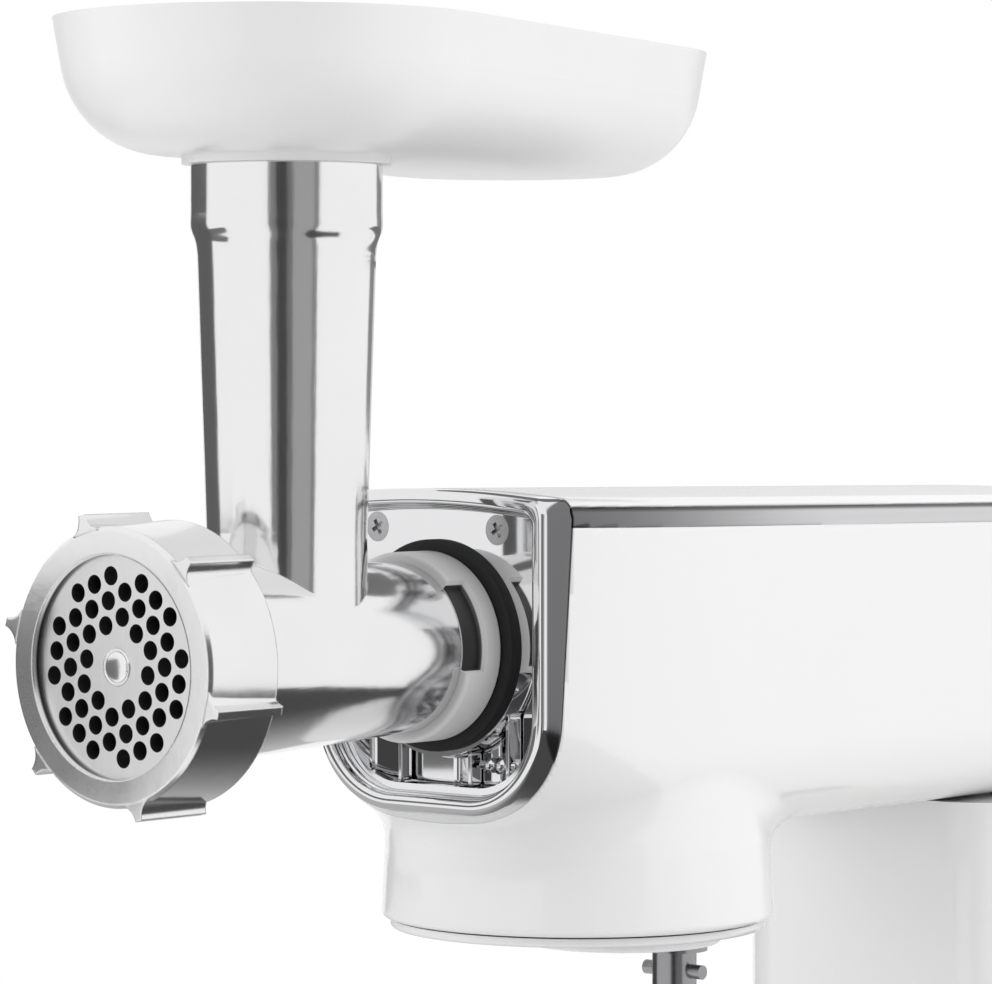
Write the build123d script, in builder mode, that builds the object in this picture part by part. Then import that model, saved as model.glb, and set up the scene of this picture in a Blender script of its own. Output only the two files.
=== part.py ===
"""Electric meat grinder: a screw grinder on the front drive of a tilting-head kitchen machine.

Millimetres, +Z up, the grinder's mouth faces -Y, the origin is under the middle of the machine.
"""
import os
from math import atan2, cos, pi, radians, sin, sqrt, tan

from build123d import *

os.makedirs("parts", exist_ok=True)

# Driving dimensions: heights and reaches
axis_height = 303.0
rear_reach = 240.0
hub_depth = 58.6
clearance = 0.3
running = 0.05
slip = 0.02

# Driving dimensions: grinder
nut_lip = 2.5
nut_length = 22.5
nut_radius = 35.0
nut_flare = 1.0
nut_opening = 28.0
nut_wall = 1.7
rib_count = 6
rib_turn = 45.0
rib_height = 3.8
rib_tip = 2.2
rib_foot = 9.0
plate_radius = 31.0
plate_thick = 5.0
plate_hole = 2.4
plate_pitch = 6.3
plate_turn = 21.5
pin_radius = 4.75
key_radius = 1.5
knife_thick = 7.0
knife_arm = 8.0
knife_square = 9.6
knife_reach = 26.5
feed_length = 91.5
collar_length = 13.0
collar_radius = 25.4
seal_thick = 2.4
seal_radius = 28.4
barrel_front_radius = 26.0
barrel_rear_radius = 22.6
bore_radius = 19.6
mouth_wall = 1.9
tube_setback = 42.6
tube_foot_radius = 20.8
tube_neck_radius = 23.2
tube_collar_radius = 24.75
tube_wall = 2.4
tube_foot_rise = 32.0
tube_neck_rise = 107.5
tube_step = 3.5
tube_rise = 126.4

# Driving dimensions: tray
tray_turn = 15.6
tray_radius = 50.5
tray_span = 139.5
tray_front_centre = -6.5
tray_depth = 34.6
tray_draft = 10.0
tray_floor_round = 26.0
tray_wall = 2.4
tray_neck_radius = 27.0
tray_neck_rise = 2.2
tray_spigot_depth = 14.0
tray_spigot_wall = 2.0

# Driving dimensions: auger and front drive
auger_core = 7.0
auger_pitch = 23.0
flight_thick = 4.0
flight_gap = 0.6
journal_radius = 8.0
spigot_shank = 5.0
drive_hex = 10.0
hex_play = 0.25
hex_engagement = 19.0
socket_radius = 9.0
shaft_radius = 4.5
bearing_radius = 16.0
bearing_length = 9.0

# Driving dimensions: chrome hub
bezel_half_width = 41.0
bezel_top = 42.0
bezel_corner_top = 39.7
bezel_bottom = 45.0
bezel_corner = 27.0
bezel_rim = 4.4
bezel_front = 63.0
bezel_depth_top = 9.0
bezel_depth_bottom = 4.0
dish_back = 8.0
dish_pocket = 7.0
dish_lip = 3.0
hub_socket_radius = 22.0
hub_socket_depth = 14.0
hub_sleeve_wall = 4.0
lug_radius = 24.0
lug_length = 4.0
screw_offset = 21.4
screw_rise = 31.3
screw_head = 4.0
screw_shank = 1.9
screw_length = 12.0

# Driving dimensions: head
head_half_width = 52.0
head_wall = 3.0
head_under = 53.0
head_corner = 24.0
head_top_fall = 0.0155
cover_seam = 37.8
trim_height = 5.4
skirt_radius = 54.5
skirt_drop = 77.5
skirt_draft = 1.2
hinge_setback = 187.0
hinge_pin_radius = 5.0
hinge_boss_radius = 10.0

# Driving dimensions: gear train
spur_module = 1.25
motor_teeth = 10
lay_gear_teeth = 36
lay_pinion_teeth = 12
main_teeth = 34
lay_turn = 225.0
gear_width = 8.0
tooth_thin = 0.22
pressure_turn = radians(20.0)
bevel_pinion_teeth = 12
crown_teeth = 24
crown_radius = 22.0
crown_inner = 14.5
ring_module = 1.5
ring_teeth = 50
planet_teeth = 14
planet_width = 9.0
planet_turn = 41.0
tool_radius = 6.2
tool_drop = 121.0
tool_pin_drop = 93.0
tool_pin_radius = 2.0
tool_pin_length = 20.0

# Driving dimensions: stand
base_radius = 103.0
base_height = 40.0
base_rear_corner = 45.0
base_wall = 3.0
base_edge = 10.0
base_draft = 8.0
base_plate_thick = 3.0
column_half_width = 50.0
column_front = 131.0
column_length = 96.0
column_corner = 20.0
column_rear_spread = 5.0
column_gap = 0.8
column_lip = 14.0
foot_height = 6.0
foot_radius = 9.0
foot_stud = 3.0
boss_radius = 5.0
base_screw_radius = 1.5
base_screw_head = 3.0
base_screw_length = 16.0
gland_stick = 6.0
gland_radius = 6.0
gland_flange = 8.0
gland_length = 14.0
gland_bore = 3.5
gland_height = 20.0
seat_radius = 62.0
seat_thick = 3.0
seat_rim = 6.0
seat_rim_width = 4.0
knob_radius = 20.0
knob_length = 16.0
knob_height = 150.0
knob_grip = 7.0
spindle_radius = 3.0
switch_size = 40.0
switch_depth = 30.0
board_length = 60.0
board_width = 90.0
board_thick = 1.6
board_rise = 6.0
board_gap = 14.0
board_stand_x = 38.0
board_stand_y = 23.0

# Tilt hinge and its lock
plate_x = 20.0
hinge_plate = 4.0
hinge_disc = 26.0
stem_half = 13.0
bracket_drop = 108.0
tilt_limit = 35.0
lock_notch_half = 4.6
lock_notch_depth = 7.0
bolt_radius = 4.0
bolt_length = 16.6
guide_length = 7.0
guide_width = 15.0
finger_width = 8.0
finger_thick = 4.0
grip_radius = 13.0
grip_plate = 4.0
grip_length = 12.0
grip_bar = 7.0
grip_edge = 1.5

# Stations along the machine
nose_reach = hub_depth + seal_thick + collar_length + feed_length + knife_thick + plate_thick + nut_lip
planet_y = (nose_reach - rear_reach) / 2
floor_y = planet_y - hub_depth
seal_y = floor_y - seal_thick
collar_y = seal_y - collar_length
knife_back_y = collar_y - feed_length
plate_back_y = knife_back_y - knife_thick
plate_front_y = plate_back_y - plate_thick
nut_y = plate_front_y - nut_lip
tube_y = collar_y - tube_setback
bezel_y = planet_y - bezel_front
hinge_y = planet_y + hinge_setback
column_y = planet_y + column_front
base_back_y = planet_y + rear_reach - gland_stick
tube_top_z = axis_height + tube_rise
head_floor_z = axis_height - head_under
grinder_axis = Axis((0, 0, axis_height), (0, 1, 0))
tube_axis = Axis((0, tube_y, 0), (0, 0, 1))
planet_axis = Axis((0, planet_y, 0), (0, 0, 1))


def facing(y, x=0.0, z=axis_height):
    """Plane at station y seen from the front, X to the right and Z up; extruding goes forward."""
    return Plane(origin=(x, y, z), x_dir=(1, 0, 0), z_dir=(0, -1, 0))


def polar(radius, turn):
    """Point at a radius and an angle in degrees."""
    return (radius * cos(radians(turn)), radius * sin(radians(turn)))


# Tray: a stadium-shaped pan with drafted walls, turned a little on the tube
tray_floor_z = tube_top_z + tray_neck_rise
tray_heading = (-sin(radians(tray_turn)), cos(radians(tray_turn)), 0)
tray_plane = Plane(origin=(0, tube_y, tray_floor_z), x_dir=tray_heading, z_dir=(0, 0, 1))
tray_middle = tray_front_centre + tray_span / 2
tube_mouth_radius = tube_collar_radius - tube_wall
tray_spigot_radius = tube_mouth_radius - clearance

with BuildPart() as hopper_tray:
    with BuildSketch(tray_plane):
        with Locations((tray_middle, 0)):
            SlotCenterToCenter(tray_span, 2 * tray_radius)
    extrude(amount=tray_depth, taper=-tray_draft)
    fillet(hopper_tray.faces().sort_by(Axis.Z)[0].edges(), radius=tray_floor_round)
    offset(amount=-tray_wall, openings=hopper_tray.faces().sort_by(Axis.Z)[-1])
    with BuildSketch(Plane.XY.offset(tube_top_z)):
        with Locations((0, tube_y)):
            Circle(tray_neck_radius)
    extrude(amount=tray_neck_rise + tray_wall / 2)
    with BuildSketch(Plane.XY.offset(tube_top_z - tray_spigot_depth)):
        with Locations((0, tube_y)):
            Circle(tray_spigot_radius)
    extrude(amount=tray_spigot_depth + tray_wall / 2)
    with BuildSketch(Plane.XY.offset(tube_top_z - tray_spigot_depth)):
        with Locations((0, tube_y)):
            Circle(tray_spigot_radius - tray_spigot_wall)
    extrude(amount=tray_spigot_depth + tray_depth, mode=Mode.SUBTRACT)
hopper_tray.part.label = "hopper_tray"
export_step(hopper_tray.part, "parts/hopper_tray.step")

# Grinder body: tapered barrel, threaded mouth and upright feed tube in one casting
seat_bore = plate_radius + clearance / 2
mouth_radius = seat_bore + mouth_wall
mouth_front_y = plate_front_y + 2.0
mouth_back_y = nut_y + nut_length + 1.0
barrel_shoulder = 4.0
chamber_radius = knife_reach + 1.5
tube_bore_foot = tube_foot_radius - tube_wall
tube_bore_neck = tube_neck_radius - tube_wall
tube_root = 4.0

with BuildPart() as grinder_body:
    with BuildSketch(Plane.YZ):
        with BuildLine():
            Polyline(
                (mouth_front_y, axis_height),
                (mouth_front_y, axis_height + mouth_radius),
                (mouth_back_y, axis_height + mouth_radius),
                (mouth_back_y + barrel_shoulder, axis_height + barrel_front_radius),
                (collar_y, axis_height + barrel_rear_radius),
                (collar_y, axis_height),
                close=True,
            )
        make_face()
    revolve(axis=grinder_axis)
    with BuildSketch(Plane.YZ):
        with BuildLine():
            Polyline(
                (tube_y, axis_height + tube_root),
                (tube_y + tube_foot_radius, axis_height + tube_root),
                (tube_y + tube_foot_radius, axis_height + tube_foot_rise),
                (tube_y + tube_neck_radius, axis_height + tube_neck_rise),
                (tube_y + tube_collar_radius, axis_height + tube_neck_rise + tube_step),
                (tube_y + tube_collar_radius, tube_top_z),
                (tube_y, tube_top_z),
                close=True,
            )
        make_face()
    revolve(axis=tube_axis)
    with BuildSketch(Plane.YZ):
        with BuildLine():
            Polyline(
                (mouth_front_y, axis_height),
                (mouth_front_y, axis_height + seat_bore),
                (plate_back_y, axis_height + seat_bore),
                (plate_back_y, axis_height + chamber_radius),
                (knife_back_y, axis_height + chamber_radius),
                (knife_back_y + chamber_radius - bore_radius, axis_height + bore_radius),
                (collar_y, axis_height + bore_radius),
                (collar_y, axis_height),
                close=True,
            )
        make_face()
    revolve(axis=grinder_axis, mode=Mode.SUBTRACT)
    with BuildSketch(Plane.YZ):
        with BuildLine():
            Polyline(
                (tube_y, axis_height),
                (tube_y + tube_bore_foot, axis_height),
                (tube_y + tube_bore_foot, axis_height + tube_foot_rise),
                (tube_y + tube_bore_neck, axis_height + tube_neck_rise - tube_step),
                (tube_y + tube_mouth_radius, axis_height + tube_neck_rise),
                (tube_y + tube_mouth_radius, tube_top_z),
                (tube_y, tube_top_z),
                close=True,
            )
        make_face()
    revolve(axis=tube_axis, mode=Mode.SUBTRACT)
    with BuildSketch(facing(plate_back_y)):
        with Locations((0, -seat_bore)):
            Circle(key_radius)
    extrude(amount=plate_back_y - mouth_front_y)
grinder_body.part.label = "grinder_body"
export_step(grinder_body.part, "parts/grinder_body.step")

# Rear collar: plastic bush behind the barrel with a bayonet spigot for the hub
collar_spigot_radius = hub_socket_radius - running
collar_plug_radius = bore_radius - running
collar_plug_length = 8.0
collar_spigot_length = 11.5
lug_y = floor_y + 5.0
notch_turn = 16.0
notch_half_width = 7.0
notch_depth = 3.4
notch_length = 7.0
seal_gap = 0.25

with BuildPart() as rear_collar:
    with BuildSketch(facing(seal_y - seal_gap)):
        Circle(collar_radius)
    extrude(amount=collar_length - seal_gap)
    fillet(rear_collar.edges().filter_by(GeomType.CIRCLE).group_by(SortBy.RADIUS)[-1], radius=1.5)
    with BuildSketch(facing(collar_y)):
        Circle(collar_plug_radius)
    extrude(amount=-1.0)
    with BuildSketch(facing(collar_y)):
        Circle(collar_plug_radius)
    extrude(amount=collar_plug_length)
    with BuildSketch(facing(floor_y + collar_spigot_length)):
        Circle(collar_spigot_radius)
    extrude(amount=collar_spigot_length + seal_thick + 1.0)
    with BuildSketch(facing(lug_y + lug_length)):
        with PolarLocations(0, 2):
            with Locations((lug_radius - 3.0, 0)):
                Rectangle(6.0, 10.0)
        Circle(lug_radius, mode=Mode.INTERSECT)
    extrude(amount=lug_length)
    with BuildSketch(facing(collar_y + notch_length)):
        with Locations((polar(collar_radius, notch_turn))):
            Rectangle(2 * notch_depth, 2 * notch_half_width, rotation=notch_turn)
    extrude(amount=notch_length, mode=Mode.SUBTRACT)
    with BuildSketch(facing(floor_y + collar_spigot_length)):
        Circle(journal_radius + running)
    collar_whole = collar_spigot_length + seal_thick + collar_length + collar_plug_length
    extrude(amount=collar_whole, mode=Mode.SUBTRACT)
rear_collar.part.label = "rear_collar"
export_step(rear_collar.part, "parts/rear_collar.step")

# Ring nut: lip, thin wall and six grip ribs with hollow flanks
nut_back_y = nut_y + nut_length
nut_bore = mouth_radius + clearance
rib_root = nut_radius - nut_wall / 2
rib_crown = nut_radius + rib_height

with BuildSketch() as rib:
    with BuildLine():
        ThreePointArc((rib_root, -rib_foot / 2), (nut_radius + 0.8, -rib_tip), (rib_crown, -rib_tip / 2))
        Line((rib_crown, -rib_tip / 2), (rib_crown, rib_tip / 2))
        ThreePointArc((rib_crown, rib_tip / 2), (nut_radius + 0.8, rib_tip), (rib_root, rib_foot / 2))
        Line((rib_root, rib_foot / 2), (rib_root, -rib_foot / 2))
    make_face()

with BuildPart() as ring_nut:
    with BuildSketch(Plane.YZ):
        with BuildLine():
            Polyline(
                (nut_y, axis_height + nut_opening),
                (nut_y, axis_height + nut_radius - 1.0),
                (nut_y + 1.0, axis_height + nut_radius),
                (nut_back_y, axis_height + nut_bore + nut_wall + nut_flare),
                (nut_back_y, axis_height + nut_bore),
                (plate_front_y, axis_height + nut_bore),
                (plate_front_y, axis_height + nut_opening),
                close=True,
            )
        make_face()
    revolve(axis=grinder_axis)
    with BuildSketch(facing(nut_back_y)):
        with PolarLocations(0, rib_count, start_angle=rib_turn):
            add(rib.sketch)
    extrude(amount=nut_length)
ring_nut.part.label = "ring_nut"
export_step(ring_nut.part, "parts/ring_nut.step")

# Cutting plate: holes on a hexagonal lattice with the middle and the corners left out
plate_points = []
for column in range(-4, 5):
    for row in range(-4, 5):
        steps = max(abs(column), abs(row), abs(column + row))
        corner = 0 in (column, row, column + row)
        if steps in (2, 3) or (steps == 4 and not corner):
            plate_points.append((plate_pitch * (column + row / 2), plate_pitch * row * sqrt(3) / 2))

with BuildPart() as cutter_plate:
    with BuildSketch(facing(plate_back_y)):
        Circle(plate_radius)
        Circle(pin_radius + running, mode=Mode.SUBTRACT)
        with Locations((0, -seat_bore)):
            Circle(key_radius + clearance, mode=Mode.SUBTRACT)
        with Locations(Rotation(0, 0, plate_turn)):
            with Locations(*plate_points):
                Circle(plate_hole, mode=Mode.SUBTRACT)
    extrude(amount=plate_thick)
cutter_plate.part.label = "cutter_plate"
export_step(cutter_plate.part, "parts/cutter_plate.step")

# Knife: four swept arms round a square eye
knife_gap = 0.4
arm_count = 4
with BuildPart() as cutter_knife:
    with BuildSketch(facing(knife_back_y - knife_gap)):
        Circle(knife_square)
        with PolarLocations(0, arm_count):
            Polygon(
                (0, -knife_arm / 2),
                (knife_reach, 0),
                (knife_reach, knife_arm * 0.7),
                (0, knife_arm / 2),
                align=None,
            )
        Rectangle(knife_square + 2 * running, knife_square + 2 * running, mode=Mode.SUBTRACT)
    extrude(amount=knife_thick - 2 * knife_gap)
cutter_knife.part.label = "cutter_knife"
export_step(cutter_knife.part, "parts/cutter_knife.step")

# Auger: core, helical flight, square for the knife and the pin that shows through the plate
flight_radius = bore_radius - flight_gap
flight_mean = (flight_radius + auger_core - 1.0) / 2
auger_back_y = collar_y - collar_plug_length - clearance
flight_length = auger_back_y - knife_back_y - 3 * flight_thick
flight_start = (0, auger_back_y - flight_thick * 1.5, axis_height)
spigot_grip = 18.0

with BuildPart() as auger:
    with BuildSketch(facing(auger_back_y)):
        Circle(auger_core)
    extrude(amount=auger_back_y - knife_back_y)
    with BuildSketch(facing(auger_back_y)):
        Circle(journal_radius + 4.0)
    extrude(amount=flight_thick)
    with BuildLine() as flight_path:
        Helix(
            pitch=auger_pitch,
            height=flight_length,
            radius=flight_mean,
            center=flight_start,
            direction=(0, -1, 0),
        )
    flight_root = flight_path.line @ 0
    flight_out = flight_root - Vector(flight_start)
    with BuildSketch(Plane(origin=flight_root, x_dir=flight_out, z_dir=flight_path.line % 0)):
        Rectangle(flight_radius - auger_core + 1.0, flight_thick)
    sweep(path=flight_path.line, is_frenet=True)
    with BuildSketch(facing(knife_back_y)):
        Rectangle(knife_square, knife_square)
    extrude(amount=knife_thick)
    with BuildSketch(facing(plate_back_y)):
        Circle(pin_radius)
    extrude(amount=plate_thick)
    with BuildSketch(facing(auger_back_y)):
        Circle(spigot_shank + slip)
    extrude(amount=spigot_grip, mode=Mode.SUBTRACT)
auger.part.label = "auger"
export_step(auger.part, "parts/auger.step")

# Drive spigot: steel journal in the collar with a hexagon for the front drive
socket_y = floor_y + collar_spigot_length + clearance
hex_end_y = socket_y + hex_engagement
with BuildPart() as drive_spigot:
    with BuildSketch(facing(auger_back_y)):
        Circle(spigot_shank)
    extrude(amount=spigot_grip - clearance)
    with BuildSketch(facing(socket_y - clearance)):
        Circle(journal_radius)
    extrude(amount=socket_y - clearance - auger_back_y)
    with BuildSketch(facing(hex_end_y)):
        RegularPolygon(drive_hex / 2, 6, major_radius=False)
    extrude(amount=hex_engagement + clearance)
drive_spigot.part.label = "drive_spigot"
export_step(drive_spigot.part, "parts/drive_spigot.step")

# Hub outline: drafted sides, large lower corners and an arched top, shared by bezel, dish and head
def hub_section(half_width, top, under, corner, top_corner, arch, inset=0.0):
    """Closed outline in a front view, relative to the grinder's axis."""
    side = half_width - inset
    roof = top - inset
    sill = under - inset
    with BuildSketch() as section:
        with BuildLine():
            Polyline((-side, roof - arch), (-side, -sill), (side, -sill), (side, roof - arch))
            ThreePointArc((side, roof - arch), (0, roof), (-side, roof - arch))
        make_face()
        fillet(section.vertices().group_by(Axis.Y)[0], radius=corner - inset)
        fillet(section.vertices().group_by(Axis.Y)[-1], radius=top_corner - inset)
    return section.sketch


bezel_arch = bezel_top - bezel_corner_top
bezel_top_corner = 8.0
bezel_lean = (bezel_depth_top - bezel_depth_bottom) / (bezel_top + bezel_bottom)
nose_plane = Plane(
    origin=(0, bezel_y + bezel_depth_top, axis_height + bezel_top),
    x_dir=(1, 0, 0),
    z_dir=(0, 1, -bezel_lean),
)
bezel_shape = (bezel_half_width, bezel_top, bezel_bottom, bezel_corner, bezel_top_corner, bezel_arch)
bezel_outer = hub_section(*bezel_shape)
bezel_inner = hub_section(
    *bezel_shape, bezel_rim
)
dish_outline = hub_section(
    *bezel_shape, bezel_rim + running
)
pocket_outline = hub_section(
    *bezel_shape, bezel_rim + dish_lip
)

# Bezel: chrome frame, deeper at the top than at the bottom
bezel_round = 1.6
with BuildPart() as front_bezel:
    with BuildSketch(facing(bezel_y + bezel_depth_top + bezel_lean)):
        add(bezel_outer)
        add(bezel_inner, mode=Mode.SUBTRACT)
    extrude(amount=bezel_depth_top + bezel_lean)
    split(bisect_by=nose_plane, keep=Keep.BOTTOM)
    fillet(front_bezel.faces().sort_by(Axis.Y)[0].edges(), radius=bezel_round)
front_bezel.part.label = "front_bezel"
export_step(front_bezel.part, "parts/front_bezel.step")

# Dish: chrome plate with a raised seat for the seal, a lower pocket and the bayonet socket behind
seat_ring = seal_radius + 1.4
pocket_top = 6.0
sleeve_radius = lug_radius + clearance + hub_sleeve_wall / 2
bearing_y = floor_y + hub_socket_depth
lug_slot_turn = 30.0
screw_head_depth = 2.2
with BuildPart() as hub_dish:
    with BuildSketch(facing(floor_y + dish_back)):
        add(dish_outline)
    extrude(amount=dish_back)
    with BuildSketch(facing(bearing_y + bearing_length)):
        Circle(sleeve_radius)
    extrude(amount=bearing_length + hub_socket_depth - dish_back)
    with BuildSketch(facing(floor_y + dish_pocket)):
        add(pocket_outline)
        with Locations((0, bezel_bottom - pocket_top)):
            Rectangle(4 * bezel_half_width, 2 * bezel_bottom, mode=Mode.SUBTRACT)
        Circle(seat_ring, mode=Mode.SUBTRACT)
    extrude(amount=dish_pocket, mode=Mode.SUBTRACT)
    with BuildSketch(facing(bearing_y)):
        Circle(hub_socket_radius)
    extrude(amount=hub_socket_depth, mode=Mode.SUBTRACT)
    with BuildSketch(facing(bearing_y + bearing_length)):
        Circle(bearing_radius + slip)
    extrude(amount=bearing_length, mode=Mode.SUBTRACT)
    with BuildSketch(facing(lug_y + lug_length + clearance)):
        Circle(lug_radius + clearance)
    extrude(amount=lug_length + 2 * clearance, mode=Mode.SUBTRACT)
    with BuildSketch(facing(lug_y)):
        with PolarLocations(0, 2, start_angle=-lug_slot_turn):
            with Locations((lug_radius - 3.0, 0)):
                Rectangle(6.0 + 2 * clearance, 10.0 + 4 * clearance)
        Circle(lug_radius + clearance, mode=Mode.INTERSECT)
    extrude(amount=lug_y - floor_y, mode=Mode.SUBTRACT)
    with BuildSketch(facing(floor_y + dish_back)):
        with Locations((-screw_offset, screw_rise), (screw_offset, screw_rise)):
            Circle(screw_shank + running)
    extrude(amount=dish_back, mode=Mode.SUBTRACT)
    with BuildSketch(facing(floor_y + screw_head_depth)):
        with Locations((-screw_offset, screw_rise), (screw_offset, screw_rise)):
            Circle(screw_head + running)
    extrude(amount=screw_head_depth, mode=Mode.SUBTRACT)
hub_dish.part.label = "hub_dish"
export_step(hub_dish.part, "parts/hub_dish.step")

# Hub screws: two cross-recessed heads in the dish
screw_cross = 4.2
screw_cross_width = 1.2
screw_cross_depth = 1.2
with BuildPart() as hub_screws:
    with BuildSketch(facing(floor_y + screw_length)):
        with Locations((-screw_offset, screw_rise), (screw_offset, screw_rise)):
            Circle(screw_shank)
    extrude(amount=screw_length)
    with BuildSketch(facing(floor_y + screw_head_depth)):
        with Locations((-screw_offset, screw_rise), (screw_offset, screw_rise)):
            Circle(screw_head)
    extrude(amount=screw_head_depth)
    with BuildSketch(facing(floor_y + screw_cross_depth)):
        with Locations((-screw_offset, screw_rise), (screw_offset, screw_rise)):
            Rectangle(screw_cross, screw_cross_width, rotation=30)
            Rectangle(screw_cross_width, screw_cross, rotation=30)
    extrude(amount=screw_cross_depth, mode=Mode.SUBTRACT)
hub_screws.part.label = "hub_screws"
export_step(hub_screws.part, "parts/hub_screws.step")

# Seal: rubber ring between the collar and the dish
with BuildPart() as hub_seal:
    with BuildSketch(facing(floor_y)):
        Circle(seal_radius)
        Circle(hub_socket_radius + clearance, mode=Mode.SUBTRACT)
    extrude(amount=seal_thick)
    fillet(hub_seal.faces().sort_by(Axis.Y)[0].edges().group_by(SortBy.LENGTH)[-1], radius=0.8)
hub_seal.part.label = "hub_seal"
export_step(hub_seal.part, "parts/hub_seal.step")

# Head form: sections along the machine, lofted once for the outside and once for the hollow
head_roof = bezel_top
head_round = (head_roof - head_top_fall * (hinge_y - bezel_y) + head_under) / 2
hinge_z = head_floor_z + head_round
frame_floor_z = head_floor_z + head_wall
floor_trim = 0.5
head_sections = [
    (bezel_y + 1.0, bezel_half_width, bezel_bottom, bezel_corner),
    (bezel_y + 6.5, bezel_half_width + 2.6, bezel_bottom + 1.6, bezel_corner),
    (floor_y + dish_back, bezel_half_width + 4.8, bezel_bottom + 3.2, bezel_corner),
    (planet_y - 42.0, head_half_width - 4.2, head_under - 2.6, head_corner + 2.0),
    (planet_y - 33.0, head_half_width - 2.5, head_under - 0.9, head_corner + 1.4),
    (planet_y - 22.0, head_half_width - 1.1, head_under + floor_trim, head_corner + 0.7),
    (planet_y, head_half_width, head_under + floor_trim, head_corner),
    (column_y, head_half_width, head_under + floor_trim, head_corner),
    (hinge_y - 8.0, head_half_width - 1.6, head_under + floor_trim, head_corner - 1.6),
    (hinge_y + 0.35 * head_round, head_half_width - 4.6, head_under + floor_trim, head_corner - 3.0),
    (hinge_y + 0.65 * head_round, head_half_width - 8.6, head_under + floor_trim, head_corner - 4.5),
    (hinge_y + 0.85 * head_round, head_half_width - 13.4, head_under + floor_trim, head_corner - 6.0),
    (hinge_y + 0.98 * head_round, head_half_width - 19.0, head_under + floor_trim, head_corner - 8.0),
]


def head_outline(section, inset=0.0):
    """Front-view outline of the head at one of its sections."""
    station, half_width, under, corner = section
    top = head_roof - head_top_fall * (station - bezel_y)
    return hub_section(half_width, top, under, corner, bezel_top_corner, bezel_arch, inset)


with BuildPart() as head_form:
    for section in head_sections:
        with BuildSketch(facing(section[0])):
            add(head_outline(section))
    loft(ruled=True)
    with BuildSketch(Plane.YZ):
        with Locations((hinge_y, hinge_z)):
            Circle(head_round)
        with Locations((hinge_y, head_floor_z)):
            Rectangle(hinge_y - bezel_y, 4 * head_round, align=(Align.MAX, Align.MIN))
    extrude(amount=2 * head_half_width, both=True, mode=Mode.INTERSECT)

with BuildPart() as head_hollow:
    for section in head_sections[1:]:
        with BuildSketch(facing(section[0])):
            add(head_outline(section, head_wall))
    loft(ruled=True)
    with BuildSketch(Plane.YZ):
        with Locations((hinge_y, hinge_z)):
            Circle(head_round - head_wall)
        with Locations((hinge_y, frame_floor_z)):
            Rectangle(hinge_y - bezel_y, 4 * head_round, align=(Align.MAX, Align.MIN))
    extrude(amount=2 * head_half_width, both=True, mode=Mode.INTERSECT)

seam_normal = (0, head_top_fall, 1)
cover_plane = Plane(origin=(0, bezel_y, axis_height + cover_seam), x_dir=(1, 0, 0), z_dir=seam_normal)
trim_z = axis_height + cover_seam - trim_height
trim_plane = Plane(origin=(0, bezel_y, trim_z), x_dir=(1, 0, 0), z_dir=seam_normal)
seam_gap = 0.4

with BuildPart() as head_top_cover:
    add(head_form.part)
    add(head_hollow.part, mode=Mode.SUBTRACT)
    split(bisect_by=nose_plane, keep=Keep.TOP)
    split(bisect_by=cover_plane.offset(seam_gap), keep=Keep.TOP)
head_top_cover.part.label = "head_top_cover"
export_step(head_top_cover.part, "parts/head_top_cover.step")

with BuildPart() as trim_strip:
    add(head_form.part)
    add(head_hollow.part, mode=Mode.SUBTRACT)
    with BuildSketch(facing(floor_y + dish_back)):
        add(dish_outline)
    extrude(amount=dish_back + bezel_depth_top, mode=Mode.SUBTRACT)
    split(bisect_by=nose_plane, keep=Keep.TOP)
    split(bisect_by=cover_plane, keep=Keep.BOTTOM)
    split(bisect_by=trim_plane, keep=Keep.TOP)
trim_strip.part.label = "trim_strip"
export_step(trim_strip.part, "parts/trim_strip.step")

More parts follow.
